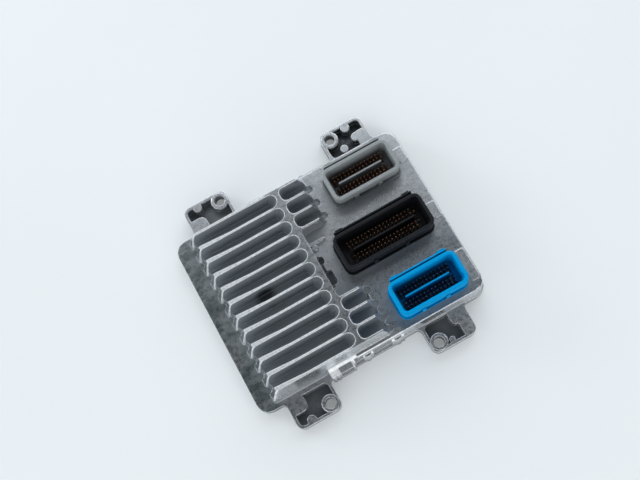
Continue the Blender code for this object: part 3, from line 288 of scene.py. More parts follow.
@dataclass
class EffectShelf:
    """Builds each shared shader group once and places it in materials."""

    groups: dict[Effect, Tree] = field(default_factory=dict)

    def place(self, bench: NodeBench, effect: Effect, **values: float) -> Node:
        """Places a shared effect in a material.

        Args:
            bench: The material's bench.
            effect: The effect.
            **values: Its own numbers.

        Returns:
            The group node.
        """
        makers = {
            Effect.CAST_SKIN: self._cast_skin,
            Effect.EDGE_RUB: self._highlight_edges,
            Effect.RECESS: self._recess,
            Effect.MOULD_TEXTURE: self._mould_texture,
        }
        if effect not in self.groups:
            self.groups[effect] = bpy.data.node_groups.new(effect.value, "ShaderNodeTree")
            makers[effect](NodeBench(self.groups[effect]))
        return bench.feed(bench.add("Group", node_tree=self.groups[effect]), **values)

    @staticmethod
    def _sockets(bench: NodeBench, inputs: dict[str, float], outputs: tuple[str, ...]) -> tuple:
        """Gives a group its sockets.

        Args:
            bench: The group's bench.
            inputs: Input names with their default values.
            outputs: Output names.

        Returns:
            The outputs of the group's input node, and its output node.
        """
        faces = bench.tree.interface
        for name, value in inputs.items():
            faces.new_socket(name=name, in_out="INPUT", socket_type="NodeSocketFloat").default_value = value
        for name in outputs:
            faces.new_socket(name=name, in_out="OUTPUT", socket_type="NodeSocketFloat")
        return bench.tree.nodes.new("NodeGroupInput").outputs, bench.tree.nodes.new("NodeGroupOutput")

    def _cast_skin(self, bench: NodeBench) -> None:
        """Makes the skin of a die casting: fine grain, soft waves, pits and flow stains.

        Args:
            bench: The group's bench.
        """
        start, end = self._sockets(bench, {"Grain": 9000.0, "Wave": 220.0}, ("Height", "Stain", "Gloss"))
        grain_share, wave_share, pit_share = 0.35, 0.9, 0.08
        flow = (0.6, 1.6, 1.0)
        place = bench.place()
        grain = bench.noise(place, start["Grain"], detail=3.0)
        wave = bench.noise(place, start["Wave"], detail=2.0)
        pits = bench.spread(bench.noise(place, scale=2600.0, detail=2.0), 0.62, 0.74)
        height = bench.maths("ADD", bench.product(grain, grain_share), bench.product(wave, wave_share))
        height = bench.maths("SUBTRACT", height, bench.product(pits, pit_share))
        stretched = bench.feed(bench.add("Mapping"), Vector=place, Scale=flow).outputs["Vector"]
        stain = bench.spread(bench.noise(stretched, scale=75.0, detail=3.0, rough=0.55), 0.34, 0.74)
        gloss = bench.spread(bench.noise(place, scale=420.0, detail=5.0, rough=0.65), 0.3, 0.7)
        bench.feed(end, Height=height, Stain=stain, Gloss=gloss)

    def _highlight_edges(self, bench: NodeBench) -> None:
        """Makes a mask of the edges, broken up at random, where highlights are painted.

        Args:
            bench: The group's bench.
        """
        start, end = self._sockets(bench, {"Radius": 0.0006, "Break": 500.0}, ("Mask",))
        unturned, turned = 0.997, 0.885
        rounded = bench.feed(bench.add("Bevel", samples=4), Radius=start["Radius"]).outputs["Normal"]
        flat = bench.add("NewGeometry").outputs["Normal"]
        edge = bench.spread(bench.maths("DOT_PRODUCT", rounded, flat, "VectorMath"), unturned, turned)
        patchy = bench.spread(bench.noise(bench.place(), start["Break"], detail=2.0), 0.25, 0.55, 0.45, 1.0)
        bench.feed(end, Mask=bench.product(edge, patchy))

    def _recess(self, bench: NodeBench) -> None:
        """Makes an occlusion mask of the corners and channels, where shade is painted.

        Args:
            bench: The group's bench.
        """
        start, end = self._sockets(bench, {"Reach": 0.008}, ("Mask",))
        fully_open, closed = 1.0, 0.25
        sky = bench.feed(bench.add("AmbientOcclusion", samples=8), Distance=start["Reach"]).outputs["AO"]
        bench.feed(end, Mask=bench.spread(sky, fully_open, closed))

    def _mould_texture(self, bench: NodeBench) -> None:
        """Makes the fine spark-eroded texture of moulded plastic, with slow sink marks.

        Args:
            bench: The group's bench.
        """
        start, end = self._sockets(bench, {"Grain": 12000.0}, ("Height", "Haze"))
        grain_share, sink_share = 0.3, 0.8
        place = bench.place()
        grain = bench.noise(place, start["Grain"], detail=2.0)
        sink = bench.noise(place, scale=160.0, detail=1.0)
        height = bench.maths("ADD", bench.product(grain, grain_share), bench.product(sink, sink_share))
        haze = bench.spread(bench.noise(place, scale=900.0, detail=4.0, rough=0.6), 0.3, 0.75)
        bench.feed(end, Height=height, Haze=haze)


@dataclass(frozen=True)
class MaterialBench(NodeBench):
    """A material's node tree, with its shader and the shelf of shared effects."""

    shader: Node
    shelf: EffectShelf

    def effect(self, kind: Effect, **values: float) -> Outputs:
        """Places a shared effect and gives its outputs."""
        return self.shelf.place(self, kind, **values).outputs

    def bump(self, height: Socket, distance: float, radius: float) -> None:
        """Gives the shader fine relief over softly rounded edges.

        Args:
            height: The relief's height from 0 to 1.
            distance: The relief's depth in metres.
            radius: The edges' rounding in metres.
        """
        rounded = self.feed(self.add("Bevel", samples=6), Radius=radius).outputs["Normal"]
        bump = self.feed(self.add("Bump"), Height=height, Distance=distance, Strength=1.0, Normal=rounded)
        self.feed(self.shader, Normal=bump.outputs["Normal"])


@dataclass(frozen=True)
class Finish:
    """A procedural finish on a Principled shader."""

    name: str

    def make(self, shelf: EffectShelf) -> Material:
        """Builds the finish's material.

        Args:
            shelf: The shared shader groups.

        Returns:
            The material.
        """
        made = bpy.data.materials.new(self.name)
        made.use_nodes = True
        shader = made.node_tree.nodes["Principled BSDF"]
        self.paint(MaterialBench(made.node_tree, shader, shelf))
        return made

    def paint(self, bench: MaterialBench) -> None:
        """Feeds the shader; each finish does it in its own way."""
        raise NotImplementedError


@dataclass(frozen=True)
class Patch:
    """A region with a tone of its own (a stain) or of painted light or shade, bound by ramps and, where
    given, by any of its stretches.
    """

    colour: Colour
    share: float
    ramps: tuple[Ramp, ...] = ()
    stretches: tuple[tuple[Ramp, Ramp], ...] = ()

    def mask(self, bench: NodeBench) -> Socket:
        """Makes the patch's mask.

        Args:
            bench: The material's bench.

        Returns:
            The mask from 0 to 1.
        """
        whole = bench.zone(self.ramps)
        if self.stretches:
            whole = bench.product(bench.most(*map(bench.zone, self.stretches)), whole)
        return whole


@dataclass(frozen=True)
class CastAluminium(Finish):
    """Bare die-cast aluminium, with painted highlights on its edges and painted shade in its channels.

    Its patches lie where the photograph shows them, in metres from the part's origin: painted
    shade in the ears' hollows, a painted dark reflection and shade on the strip past the fins'
    feet, painted shade in the gutters beside the spine, a painted highlight on the fins' tops
    (land), painted shade on the spine's top, a grey picked by facing on the fins' left ends
    (nose) that stays metallic to catch the left light, a painted reflection of the pale floor
    on the band over the near skirt, painted shade in the skirt's sunk panels, painted
    highlights on the far ends of the blank pads, and painted shadow and dark reflection on the
    plateau's near part.
    """

    name: str = "cast_aluminium_skin"
    bright: Colour = (0.63, 0.652, 0.672)
    dull: Colour = (0.40, 0.425, 0.445)
    dull_share: float = 0.45
    # painted shade: the colour laid in corners and channels by the occlusion mask
    deep: Colour = (0.30, 0.335, 0.365)
    deep_share: float = 0.9
    deep_reach: float = 0.011
    # near-white colour of the painted edge highlights
    edge: Colour = (0.95, 0.96, 0.97)
    edge_share: float = 0.95
    edge_radius: float = 0.0006
    grain: float = 9000.0
    wave: float = 260.0
    relief: float = 0.00007
    metal: float = 0.92
    deep_metal: float = 0.12
    roughness: Span = (0.23, 0.36)
    deep_roughness: float = 0.12
    edge_polish: float = 0.08
    smudge: Patch = Patch((0.05, 0.055, 0.06), 0.93)
    smudge_place: Place = (-0.0425, 0.0018, 0.0145)
    smudge_reach: float = 0.0092
    smudge_soft: float = 0.003
    smudge_ragged: float = 0.006
    # painted shade in the ears' hollows, following the occlusion mask
    ears: Patch = Patch((0.05, 0.056, 0.062), 1.0, (Ramp("Z", 0.0078, 0.0040),))
    ears_recess: Span = (0.05, 0.4)
    # the far right ear takes the full painted shade, the others less
    most_shaded_ear: tuple[Ramp, ...] = (Ramp("Y", 0.0, 0.02), Ramp("X", -0.01, 0.01))
    least_ear_shade: float = 0.62
    # painted dark reflection and shade on the low strip past the fins' feet, broken up by the stain noise
    strip: Patch = Patch((0.16, 0.20, 0.205), 1.0, (Ramp("Z", 0.0125, 0.0095), Ramp("X", -0.0640, -0.0685)))
    strip_reflection_spread: Span = (0.45, 0.95)
    # painted shade in the gutters beside the spine
    gutter: Patch = Patch((0.085, 0.09, 0.10), 1.0, (
        Ramp("Z", 0.0150, 0.0134), Ramp("Z", 0.0120, 0.0122),
        *span("X", -0.0049, 0.0031, 0.0001), *span("Y", -0.0178, 0.0178, 0.0002)))
    # painted highlight on the fins' tops, near white and less metallic
    land: Patch = Patch((0.86, 0.88, 0.90), 0.7, (Ramp("Z", 0.0253, 0.0255), Ramp("X", -0.0105, -0.0145)))
    land_dull: float = 0.75
    # painted shade on the spine's top
    spine: Patch = Patch((0.36, 0.38, 0.40), 0.7, (
        Ramp("Z", 0.0253, 0.0255), Ramp("X", -0.0145, -0.0105), Ramp("X", -0.0020, -0.0040)))
    # painted light by facing: the fins' left-facing ends get a grey of their own over the painted recess
    # shade and stay metallic, to catch the left light
    nose: Patch = Patch((0.36, 0.38, 0.40), 0.9, (Ramp("X", -0.0570, -0.0615), Ramp("Z", 0.0100, 0.0125)))
    nose_facing: Span = (0.25, 0.6)
    # painted reflection of the pale floor on the band over the near skirt, patchy with the gloss noise and
    # kept metallic
    band: Patch = Patch((0.68, 0.695, 0.71), 1.0, (
        Ramp("Y", -0.0545, -0.0555), Ramp("Z", 0.0215, 0.0185), Ramp("Z", 0.0112, 0.0120),
        Ramp("X", -0.0330, -0.0310), Ramp("X", 0.0225, 0.0185)))
    band_gloss: tuple[float, float, float, float] = (0.2, 0.8, 1.0, 0.6)
    # painted shade in the near skirt's sunk panels and on the ledge above them, less metallic
    panel: Patch = Patch(
        (0.13, 0.147, 0.16), 0.85,
        (Ramp("Z", 0.0019, 0.0023), Ramp("Z", 0.0134, 0.0130), Ramp("Y", -0.0582, -0.0588)),
        (span("X", -0.0250, -0.0162, 0.0003), span("X", -0.0142, -0.0082, 0.0003),
         span("X", -0.0016, 0.0118, 0.0003)))
    # painted highlight: near-white lines across the far ends of the blank pads, not metallic
    pad: Patch = Patch(
        (0.95, 0.96, 0.97), 0.9,
        (Ramp("X", 0.0724, 0.0728), Ramp("X", 0.0785, 0.0779), Ramp("Z", 0.0120, 0.0126)),
        (span("Y", 0.0448, 0.0458, 0.0002), span("Y", 0.0031, 0.0041, 0.0002),
         span("Y", -0.0322, -0.0312, 0.0002)))
    # painted shadow and dark reflection on the plateau's near part, by the black and blue headers
    plateau_shade: Patch = Patch((0.30, 0.34, 0.38), 0.72, (
        Ramp("Z", 0.0146, 0.0150), Ramp("Z", 0.0164, 0.0158), Ramp("Y", 0.0080, -0.0300),
        Ramp("X", -0.0060, -0.0040)))

    def paint(self, bench: MaterialBench) -> None:
        """Paints the casting: its skin, then the stain and the patches of painted light and shade, then the
        painted edge highlights.

        Args:
            bench: The material's bench.
        """
        skin = bench.effect(Effect.CAST_SKIN, Grain=self.grain, Wave=self.wave)
        highlight_mask = bench.effect(Effect.EDGE_RUB, Radius=self.edge_radius)["Mask"]
        recess = bench.effect(Effect.RECESS, Reach=self.deep_reach)["Mask"]
        # painted shade in the ears' hollows, strongest in the far right ear
        ear_shade_weight = bench.spread(bench.zone(self.most_shaded_ear), 0.0, 1.0, self.least_ear_shade, 1.0)
        ear_pocket_shade = bench.product(self.ears.mask(bench), bench.spread(recess, *self.ears_recess), ear_shade_weight)
        # breaks up the strip's painted dark reflection and shade with the stain noise
        strip_breakup = bench.spread(skin["Stain"], 0.0, 1.0, *self.strip_reflection_spread)
        # masks of the painted shade in the sunk panels and of the painted highlights on the pads and fin tops
        panels, pads, land = (patch.mask(bench) for patch in (self.panel, self.pad, self.land))
        nose = self._nose(bench)
        # painted reflection on the band over the near skirt, left off the sunk panels
        band = bench.product(self.band.mask(bench), bench.spread(skin["Gloss"], *self.band_gloss),
                             bench.maths("SUBTRACT", 1.0, panels))
        # the smudge is a stain; every other patch here is painted light or shade
        patches = (
            (self.plateau_shade, self.plateau_shade.mask(bench)),
            (self.panel, panels),
            (self.ears, ear_pocket_shade),
            (self.gutter, self.gutter.mask(bench)),
            (self.strip, bench.product(self.strip.mask(bench), strip_breakup)),
            (self.smudge, self._smudge(bench)),
            (self.land, land),
            (self.spine, self.spine.mask(bench)),
            (self.band, band),
            (self.pad, pads),
            (self.nose, nose),
        )
        body = bench.coat(self.bright, (
            (skin["Stain"], self.dull_share, self.dull),
            # painted shade in corners and channels
            (recess, self.deep_share, self.deep),
            *((mask, patch.share, patch.colour) for patch, mask in patches),
            # painted edge highlights
            (highlight_mask, self.edge_share, self.edge),
        ))
        rough = bench.spread(skin["Gloss"], 0.0, 1.0, *self.roughness)
        rough = bench.maths("ADD", rough, bench.product(recess, self.deep_roughness))
        rough = bench.maths("SUBTRACT", rough, bench.product(highlight_mask, self.edge_polish))
        dull = bench.most(bench.maths("SUBTRACT", recess, bench.most(nose, band)),
                          bench.product(land, self.land_dull), bench.product(panels, self.panel.share), pads)
        metal = bench.spread(dull, 0.0, 1.0, self.metal, self.deep_metal)
        bench.feed(bench.shader, Base_Color=body, Roughness=rough, Metallic=metal)
        bench.bump(skin["Height"], self.relief, self.edge_radius)

    def _nose(self, bench: NodeBench) -> Socket:
        """Makes the mask of the fins' left ends, where they face left, for the grey painted by facing.

        Args:
            bench: The material's bench.

        Returns:
            The mask from 0 to 1.
        """
        normal = bench.add("NewGeometry").outputs["Normal"]
        facing = bench.maths("DOT_PRODUCT", normal, (-1.0, 0.0, 0.0), "VectorMath")
        return bench.product(bench.spread(facing, *self.nose_facing), self.nose.mask(bench))

    def _smudge(self, bench: NodeBench) -> Socket:
        """Makes the mask of the ragged smudge in one channel.

        Args:
            bench: The material's bench.

        Returns:
            The mask from 0 to 1.
        """
        place = bench.place()
        away = bench.maths("DISTANCE", place, self.smudge_place, "VectorMath")
        ragged = bench.product(bench.noise(place, scale=320.0, detail=3.0), self.smudge_ragged)
        return bench.spread(bench.maths("ADD", away, ragged),
                            self.smudge_reach + self.smudge_soft, self.smudge_reach - self.smudge_soft)


@dataclass(frozen=True)
class MouldedPlastic(Finish):
    """Glass-filled plastic straight from the mould, with painted shade in its recesses and low on its walls
    and painted highlights on its edges.
    """

    body: Colour
    shade: Colour
    edge: Colour
    roughness: float = 0.42
    edge_share: float = 0.5
    recess_share: float = 0.5
    shine: float = 0.5
    # painted shade low on the outer walls, in patches
    low_wall_shade: float = 0.0
    low_shade_top: float = 0.0262
    low_shade_full: float = 0.0205
    haze_share: float = 0.18
    edge_radius: float = 0.0005
    relief: float = 0.00004

    def paint(self, bench: MaterialBench) -> None:
        """Paints the plastic.

        Args:
            bench: The material's bench.
        """
        mould = bench.effect(Effect.MOULD_TEXTURE, Grain=11000.0)
        highlight_mask = bench.effect(Effect.EDGE_RUB, Radius=self.edge_radius, Break=350.0)["Mask"]
        recess = bench.effect(Effect.RECESS, Reach=0.010)["Mask"]
        place = bench.place()
        low = bench.spread(bench.axes(place)["Z"], self.low_shade_top, self.low_shade_full, 0.0, self.low_wall_shade)
        patches = bench.spread(bench.noise(place, scale=140.0, detail=2.0), 0.40, 0.56, 0.25, 1.0)
        colour = bench.coat(self.body, (
            (mould["Haze"], self.haze_share, self.shade),
            # painted shade in recesses
            (recess, self.recess_share, self.shade),
            # painted shade low on the walls
            (bench.product(low, patches), 1.0, self.shade),
            # painted edge highlights
            (highlight_mask, self.edge_share, self.edge),
        ))
        rough = bench.varied(mould["Haze"], self.roughness, less=0.05, more=0.1)
        bench.feed(bench.shader, Base_Color=colour, Roughness=rough, Specular_IOR_Level=self.shine)
        bench.bump(mould["Height"], self.relief, self.edge_radius)


@dataclass(frozen=True)
class PinMetal(Finish):
    """Plated pins, darker towards the foot, with random tarnish and a paler tip."""

    shank: Colour
    tip: Colour
    foot: Colour
    low: float = 0.0185
    high: float = 0.0250
    shank_fade: float = 0.002
    tip_fade: float = 0.0012
    tarnish_share: float = 0.3
    metal: float = 0.85

    def paint(self, bench: MaterialBench) -> None:
        """Paints the pins.

        Args:
            bench: The material's bench.
        """
        place = bench.place()
        height = bench.axes(place)["Z"]
        tarnish = bench.spread(bench.noise(place, scale=900.0, detail=3.0), 0.3, 0.7)
        colour = bench.coat(self.foot, (
            (bench.spread(height, self.low, self.high - self.shank_fade), 1.0, self.shank),
            (tarnish, self.tarnish_share, self.foot),
            (bench.spread(height, self.high - self.tip_fade, self.high), 1.0, self.tip),
        ))
        rough = bench.spread(tarnish, 0.0, 1.0, 0.28, 0.42)
        bench.feed(bench.shader, Base_Color=colour, Roughness=rough, Metallic=self.metal)
        skin = bench.effect(Effect.MOULD_TEXTURE, Grain=20000.0)
        bench.bump(skin["Height"], distance=0.00001, radius=0.00008)


@dataclass(frozen=True)
class PlainMetal(Finish):
    """Sheet, can or screw metal with fine directional marks and painted edge highlights."""

    body: Colour
    shade: Colour
    roughness: float
    stretch: Place = (1.0, 1.0, 1.0)
    mark_scale: float = 2500.0
    edge: Colour = (0.85, 0.86, 0.87)

    def paint(self, bench: MaterialBench) -> None:
        """Paints the metal.

        Args:
            bench: The material's bench.
        """
        place = bench.place()
        stretched = bench.feed(bench.add("Mapping"), Vector=place, Scale=self.stretch).outputs["Vector"]
        marks = bench.noise(stretched, self.mark_scale, detail=3.0)
        cloud = bench.spread(bench.noise(place, scale=90.0, detail=3.0), 0.3, 0.7)
        # painted edge highlights
        highlight_mask = bench.effect(Effect.EDGE_RUB, Radius=0.0003)["Mask"]
        colour = bench.coat(self.body, ((cloud, 0.6, self.shade), (highlight_mask, 0.5, self.edge)))
        rough = bench.spread(marks, 0.2, 0.8, self.roughness - 0.06, self.roughness + 0.08)
        bench.feed(bench.shader, Base_Color=colour, Roughness=rough, Metallic=1.0)
        bench.bump(marks, distance=0.00002, radius=0.0003)


@dataclass(frozen=True)
class MattCompound(Finish):
    """Rubber, resin, ceramic or board lacquer: one body colour with specks and haze."""

    body: Colour
    speck: Colour
    roughness: float
    speck_scale: float = 1800.0
    relief: float = 0.00003

    def paint(self, bench: MaterialBench) -> None:
        """Paints the compound.

        Args:
            bench: The material's bench.
        """
        specks = bench.spread(bench.noise(bench.place(), self.speck_scale, detail=3.0), 0.45, 0.7)
        mould = bench.effect(Effect.MOULD_TEXTURE, Grain=9000.0)
        colour = bench.coat(self.body, ((specks, 0.6, self.speck),))
        rough = bench.varied(mould["Haze"], self.roughness, less=0.06, more=0.06)
        bench.feed(bench.shader, Base_Color=colour, Roughness=rough)
        bench.bump(mould["Height"], self.relief, radius=0.0003)


@dataclass(frozen=True)
class HighlightRidge(Finish):
    """The ridges and lips of the casting, painted near white as highlight lines and duller at random in
    places.
    """

    name: str = "ridge_highlight_paint"
    # painted highlight colour of the beads
    bright: Colour = (0.97, 0.975, 0.98)
    dull: Colour = (0.66, 0.68, 0.70)
    dull_share: float = 0.9
    metal: float = 0.2

    def paint(self, bench: MaterialBench) -> None:
        """Paints the ridges.

        Args:
            bench: The material's bench.
        """
        skin = bench.effect(Effect.CAST_SKIN, Grain=9000.0, Wave=400.0)
        # breaks up the painted highlight at random with the duller tone
        highlight_breakup = bench.spread(bench.noise(bench.place(), scale=260.0, detail=3.0), 0.38, 0.66)
        body = bench.coat(self.bright, ((highlight_breakup, self.dull_share, self.dull),))
        rough = bench.spread(skin["Gloss"], 0.0, 1.0, 0.30, 0.45)
        bench.feed(bench.shader, Base_Color=body, Roughness=rough, Metallic=self.metal)
        bench.bump(skin["Height"], distance=0.00004, radius=0.0002)


def dress(node: Piece, finish: Material) -> None:
    """Puts one finish on every slot of a piece.

    Args:
        node: The piece.
        finish: Its material.
    """
    if not node.material_slots:
        node.data.materials.append(finish)
    for slot in node.material_slots:
        slot.material = finish


def place_object(name: str, data: bpy.types.ID) -> Piece:
    """Puts a new object with the given data into the scene.

    Args:
        name: The object's name.
        data: Its mesh, camera or light.

    Returns:
        The object.
    """
    piece = bpy.data.objects.new(name, data)
    bpy.context.scene.collection.objects.link(piece)
    return piece


def finish_piece(name: str, mesh: Mesh, finish: Material) -> Piece:
    """Turns a mesh that is ready into a dressed piece.

    Args:
        name: The piece's name.
        mesh: Its mesh, which is used up.
        finish: Its material.

    Returns:
        The piece.
    """
    data = bpy.data.meshes.new(name)
    mesh.to_mesh(data)
    mesh.free()
    piece = place_object(name, data)
    dress(piece, finish)
    return piece


def skin_rings(mesh: Mesh, rings: list[list[bmesh.types.BMVert]]) -> None:
    """Closes a row of rings into one skin with a cap at each end.

    Args:
        mesh: The mesh being built.
        rings: The rings' corners, all in the same turning order.
    """
    for lower, upper in zip(rings, rings[1:]):
        for index, corner in enumerate(lower):
            after = (index + 1) % len(lower)
            mesh.faces.new((corner, lower[after], upper[after], upper[index]))
    mesh.faces.new(tuple(reversed(rings[0])))
    mesh.faces.new(tuple(rings[-1]))


def add_stack(mesh: Mesh, low: Span, high: Span, levels: Iterable[Span]) -> None:
    """Adds an upright block whose sides draw in from level to level.

    Args:
        mesh: The mesh being built.
        low: The lower X and Y of its outline.
        high: The higher X and Y of its outline.
        levels: Each level's height and how far the outline is drawn in there.
    """
    rings = []
    for height, inset in levels:
        corners = (
            (low[0] + inset, low[1] + inset), (high[0] - inset, low[1] + inset),
            (high[0] - inset, high[1] - inset), (low[0] + inset, high[1] - inset),
        )
        rings.append([mesh.verts.new((x, y, height)) for x, y in corners])
    skin_rings(mesh, rings)


@dataclass
class HousingGroup:
    """The casting with its thin ridges and lips, its base cover and the seal between them."""

    shelf: EffectShelf
    fin_count: int = 12
    fin_pitch: float = 10.0 * MM
    first_fin: float = 56.2 * MM
    ridge_radius: float = 0.62 * MM
    foot_swell: float = 1.45
    foot_rings: int = 2
    ridge_route: tuple[Place, ...] = (
        (-62.6, -0.55, 25.85), (-63.7, -0.75, 25.6), (-64.6, -1.0, 23.8), (-65.8, -1.5, 19.5),
        (-67.0, -2.0, 14.5), (-67.9, -2.4, 10.5), (-68.4, -2.7, 8.3),
    )
    sweep_sides: int = 8
    taper: float = 0.35
    taper_start: float = 0.15
    level_slope: float = 0.1
    lip_radius: float = 0.24 * MM
    lip_height: float = 25.9 * MM
    channel_end: float = -7.2 * MM
    channel_half: float = 4.45 * MM
    pocket_start: float = -4.5 * MM
    pocket_corner: float = 3.3 * MM
    upper_pockets: int = 3
    lower_pockets: int = 3

    def dress(self, nodes: Pieces) -> int:
        """Dresses the group's nodes.

        Args:
            nodes: The frame's nodes by name.

        Returns:
            How many nodes were dressed.
        """
        sheet = PlainMetal("rolled_cover_sheet", (0.72, 0.73, 0.74), (0.58, 0.59, 0.61), 0.36,
                           stretch=(0.06, 1.0, 1.0))
        rubber = MattCompound("seal_compound", (0.02, 0.02, 0.022), (0.035, 0.035, 0.037), 0.72)
        # near-white beads that paint the highlight lines on the fins' ends and the channels' rims
        ridges = self.build_ridges(HighlightRidge().make(self.shelf))
        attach(ridges, "root")
        dress(nodes["housing"], CastAluminium().make(self.shelf))
        dress(nodes["base_cover"], sheet.make(self.shelf))
        dress(nodes["perimeter_seal"], rubber.make(self.shelf))
        return 3

    def build_ridges(self, finish: Material) -> Piece:
        """Builds the ridge down each fin's left end and the lips round the channels' ends.

        Args:
            finish: Their material.

        Returns:
            All of them as one piece.
        """
        mesh = bmesh.new()
        for index in range(self.fin_count):
            middle = self.first_fin - index * self.fin_pitch
            route = [Vector((x * MM, y * MM + middle, z * MM)) for x, y, z in self.ridge_route]
            self._sweep(mesh, route, self.ridge_radius, swell=True)
        for route in self._lips():
            self._sweep(mesh, route, self.lip_radius)
        piece = finish_piece("fin_end_ridges", mesh, finish)
        for face in piece.data.polygons:
            face.use_smooth = True
        return piece

    def _lips(self) -> list[list[Vector]]:
        """Lists the routes of the raised lips round the channels' and pockets' ends.

        Returns:
            The middle line of each lip.
        """
        routes = []
        channels = self.fin_count - 1
        corner = self.pocket_corner
        for index in range(channels):
            middle = self.first_fin - (index + 0.5) * self.fin_pitch
            half_turn = [math.pi * (step / 10 - 0.5) for step in range(11)]
            start = self.channel_end - self.channel_half
            routes.append(self._arc((start, middle), self.channel_half, half_turn))
            if self.upper_pockets <= index < channels - self.lower_pockets:
                continue
            route = []
            for side, first in ((-1, 1.5), (1, 1.0)):
                quarter = [math.pi * (first - step / 8) for step in range(5)]
                heart = (self.pocket_start + corner, middle + side * (self.channel_half - corner))
                route += self._arc(heart, corner, quarter)
            routes.append(route)
        return routes

    def _arc(self, heart: Span, radius: float, turns: list[float]) -> list[Vector]:
        """Lists the points of an arc at the lips' height.

        Args:
            heart: The X and Y that it turns about.
            radius: Its radius.
            turns: The angle of each point.

        Returns:
            The points.
        """
        x, y = heart
        return [Vector((x + radius * math.cos(turn), y + radius * math.sin(turn), self.lip_height))
                for turn in turns]

    def _sweep(self, mesh: Mesh, route: list[Vector], thickest: float,
               swell: bool = False) -> None:
        """Sweeps one ridge along its route, thinner at its ends.

        Args:
            mesh: The mesh being built.
            route: The ridge's middle line.
            thickest: Its radius where it is thickest.
            swell: Whether it ends in the knob at a fin's foot.
        """
        up, sideways = Vector((0.0, 0.0, 1.0)), Vector((0.0, 1.0, 0.0))
        last = len(route) - 1
        rings = []
        for index, point in enumerate(route):
            ahead = route[min(index + 1, last)] - route[max(index - 1, 0)]
            level = abs(ahead.normalized().z) < self.level_slope
            across = ahead.cross(up if level else sideways).normalized()
            beside = ahead.cross(across).normalized()
            share = self.taper_start + (1.0 - 2.0 * self.taper_start) * index / last
            radius = thickest * (self.taper + (1.0 - self.taper) * math.sin(math.pi * share))
            if swell and 0 < last - index <= self.foot_rings:
                radius = thickest * self.foot_swell
            turns = (2 * math.pi * step / self.sweep_sides for step in range(self.sweep_sides))
            rings.append([
                mesh.verts.new(point + (across * math.cos(turn) + beside * math.sin(turn)) * radius)
                for turn in turns
            ])
        skin_rings(mesh, rings)


@dataclass(frozen=True)
class HeaderPlan:
    """One header: its pin columns, its middle along Y, its finishes and the pins left out.

    A pin left out is given by its column and row, counted from the left and the near side.
    """

    columns: int
    middle: float
    shroud: MouldedPlastic
    resin: MattCompound
    missing: tuple[tuple[int, int], ...] = ()


HEADERS = {
    Header.GREY: HeaderPlan(
        14, 39.6 * MM,
        MouldedPlastic("grey_shroud_plastic", (0.34, 0.365, 0.375), (0.075, 0.084, 0.088), (0.56, 0.59, 0.60),
                       edge_share=0.65, recess_share=0.8, low_wall_shade=0.75),
        MattCompound("carrier_resin", (0.034, 0.024, 0.019), (0.06, 0.042, 0.032), 0.5)),
    Header.BLACK: HeaderPlan(
        19, -1.7 * MM,
        MouldedPlastic("black_shroud_plastic", (0.0065, 0.0078, 0.0105), (0.002, 0.0022, 0.003),
                       (0.018, 0.021, 0.026), roughness=0.44, edge_share=0.4, shine=0.30),
        MattCompound("carrier_resin_dark", (0.011, 0.009, 0.008), (0.02, 0.016, 0.014), 0.5),
        missing=((18, 3), (0, 0), (18, 0))),
    Header.BLUE: HeaderPlan(
        14, -43.0 * MM,
        MouldedPlastic("blue_shroud_plastic", (0.0, 0.38, 0.82), (0.0, 0.10, 0.30), (0.0, 0.47, 0.88),
                       roughness=0.55, recess_share=0.8, shine=0.06),
        MattCompound("carrier_resin_blue", (0.002, 0.045, 0.105), (0.004, 0.068, 0.15), 0.5)),
}


